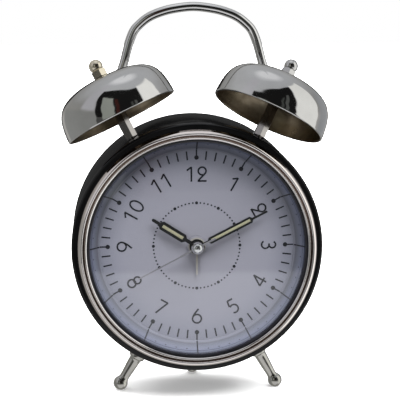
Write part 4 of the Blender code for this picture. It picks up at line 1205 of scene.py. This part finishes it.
def room():
    """A soft grey room in the world shader, with plain panels for the plating and the glass to mirror."""
    world = bpy.data.worlds.new("room")
    bpy.context.scene.world = world
    world.use_nodes = True
    world.node_tree.nodes.clear()
    kit = Nodes(world.node_tree)
    way = kit.split(kit.node("ShaderNodeTexCoord").outputs["Generated"])
    azimuth = kit.math("ARCTAN2", way["X"], kit.math("MULTIPLY", way["Y"], -1.0))
    elevation = kit.math("ARCSINE", way["Z"])

    def within(angle, middle, half, edge):
        """One inside a band of angles, fading to nothing over its edge; all in degrees."""
        gap = kit.math("ABSOLUTE", kit.math("SUBTRACT", angle, math.radians(middle)))
        over = kit.math("SUBTRACT", math.radians(half), gap)
        return kit.math("DIVIDE", over, math.radians(edge), clamp=True)

    height = kit.math("ADD", kit.math("MULTIPLY", elevation, 1 / math.pi), 0.5)
    colour = kit.ramp(
        height, (0.0, (0.36, 0.36, 0.35)), (0.34, (0.36, 0.36, 0.35)), (0.40, (0.50, 0.49, 0.48)),
        (0.47, (0.50, 0.49, 0.48)), (0.51, (0.35, 0.345, 0.33)), (0.60, (0.37, 0.37, 0.365)),
        (0.72, (0.55, 0.56, 0.58)), (1.0, (0.62, 0.64, 0.68)))
    behind = kit.math("SUBTRACT", kit.math("ABSOLUTE", azimuth), math.radians(150))
    behind = kit.math("DIVIDE", behind, math.radians(10), clamp=True)
    behind = kit.math("MULTIPLY", behind, within(elevation, -2, 17, 4))
    wall = kit.mix(within(elevation, -12, 17.7, 0.4), (0.01, 0.01, 0.01), (0.045, 0.045, 0.045))
    colour = kit.mix(behind, colour, wall)
    panels = (      # azimuth, elevation, half width, half height, edge, colour
        (76, 2, 27, 52, 3, (1.12, 1.12, 1.10)),          # bright window to the right
        (128, -12, 26, 40, 12, (0.40, 0.41, 0.43)),
        (-66, 36, 20, 34, 8, (0.58, 0.58, 0.62)),        # paler wall to the left
        (-94, -18, 48, 26, 5, (0.32, 0.325, 0.32)),
        (0, 90, 180, 24, 12, (0.95, 0.96, 1.0)),         # ceiling light
        (0, -7, 50, 9, 1, (0.09, 0.09, 0.088)),          # the room below the camera
        (0, -53, 60, 37.4, 1, (0.82, 0.82, 0.84)),       # the table in front
        (0, 26, 50, 25, 1.5, (0.012, 0.012, 0.012)),     # the dark opening that the camera looks through
        (-25.5, 17, 12.5, 17, 1.5, (0.36, 0.38, 0.35)),  # a pale panel inside it
        (-7, 16, 4, 16, 1.5, (0.055, 0.018, 0.015)),     # and three dim strips
        (24, 20, 3, 13, 1, (0.07, 0.075, 0.07)),
        (33, 20, 3.5, 15, 1, (0.11, 0.115, 0.11)),
    )
    for middle, up, half, tall, edge, tone in panels:
        inside = kit.math("MULTIPLY", within(azimuth, middle, half, edge), within(elevation, up, tall, edge))
        colour = kit.mix(inside, colour, tone)
    lit = kit.node("ShaderNodeBackground")
    kit.link(colour, lit.inputs["Color"])
    seen = kit.node("ShaderNodeLightPath")
    shown = lit.outputs[0]
    for ray, tone in (("Is Diffuse Ray", 0.28), ("Is Camera Ray", 1.0)):
        plain = kit.node("ShaderNodeBackground")
        kit.feed(plain.inputs["Color"], (tone, tone, tone))
        choice = kit.node("ShaderNodeMixShader")
        for index, output in enumerate((seen.outputs[ray], shown, plain.outputs[0])):
            kit.link(output, choice.inputs[index])
        shown = choice.outputs[0]
    kit.link(shown, kit.node("ShaderNodeOutputWorld").inputs["Surface"])


studio()
room()
area("key_light", (0.9, -1.7, 3.2), (0, 0, 0.07), (2.6, 2.2), 200)
area("fill_light", (-1.8, -2.6, 1.0), (0, 0, 0.07), (2.2, 1.6), 34)
area("floor_light", (0, 1.2, 2.8), (0, 0.5, 0), (5, 4), 420)
case()
glass()
dial()
dial_print()
slope_print()
hands()
for bell_side in SIDES:
    bell(bell_side)
    bell_fittings(bell_side)
handle()
feet()
back_cover()
cover_print()
for number, screw_angle in enumerate(SCREW_ANGLES, 1):
    cover_screw(number, screw_angle)
knob("time_knob_grip", KNOBS[0], 8, 1.95, -5.7, "time_knob_body", "time_set_knob")
knob("alarm_knob_grip", KNOBS[1], 16, 3.85, -3.0, "alarm_knob_body", "alarm_set_knob")
switch()
door()
battery()
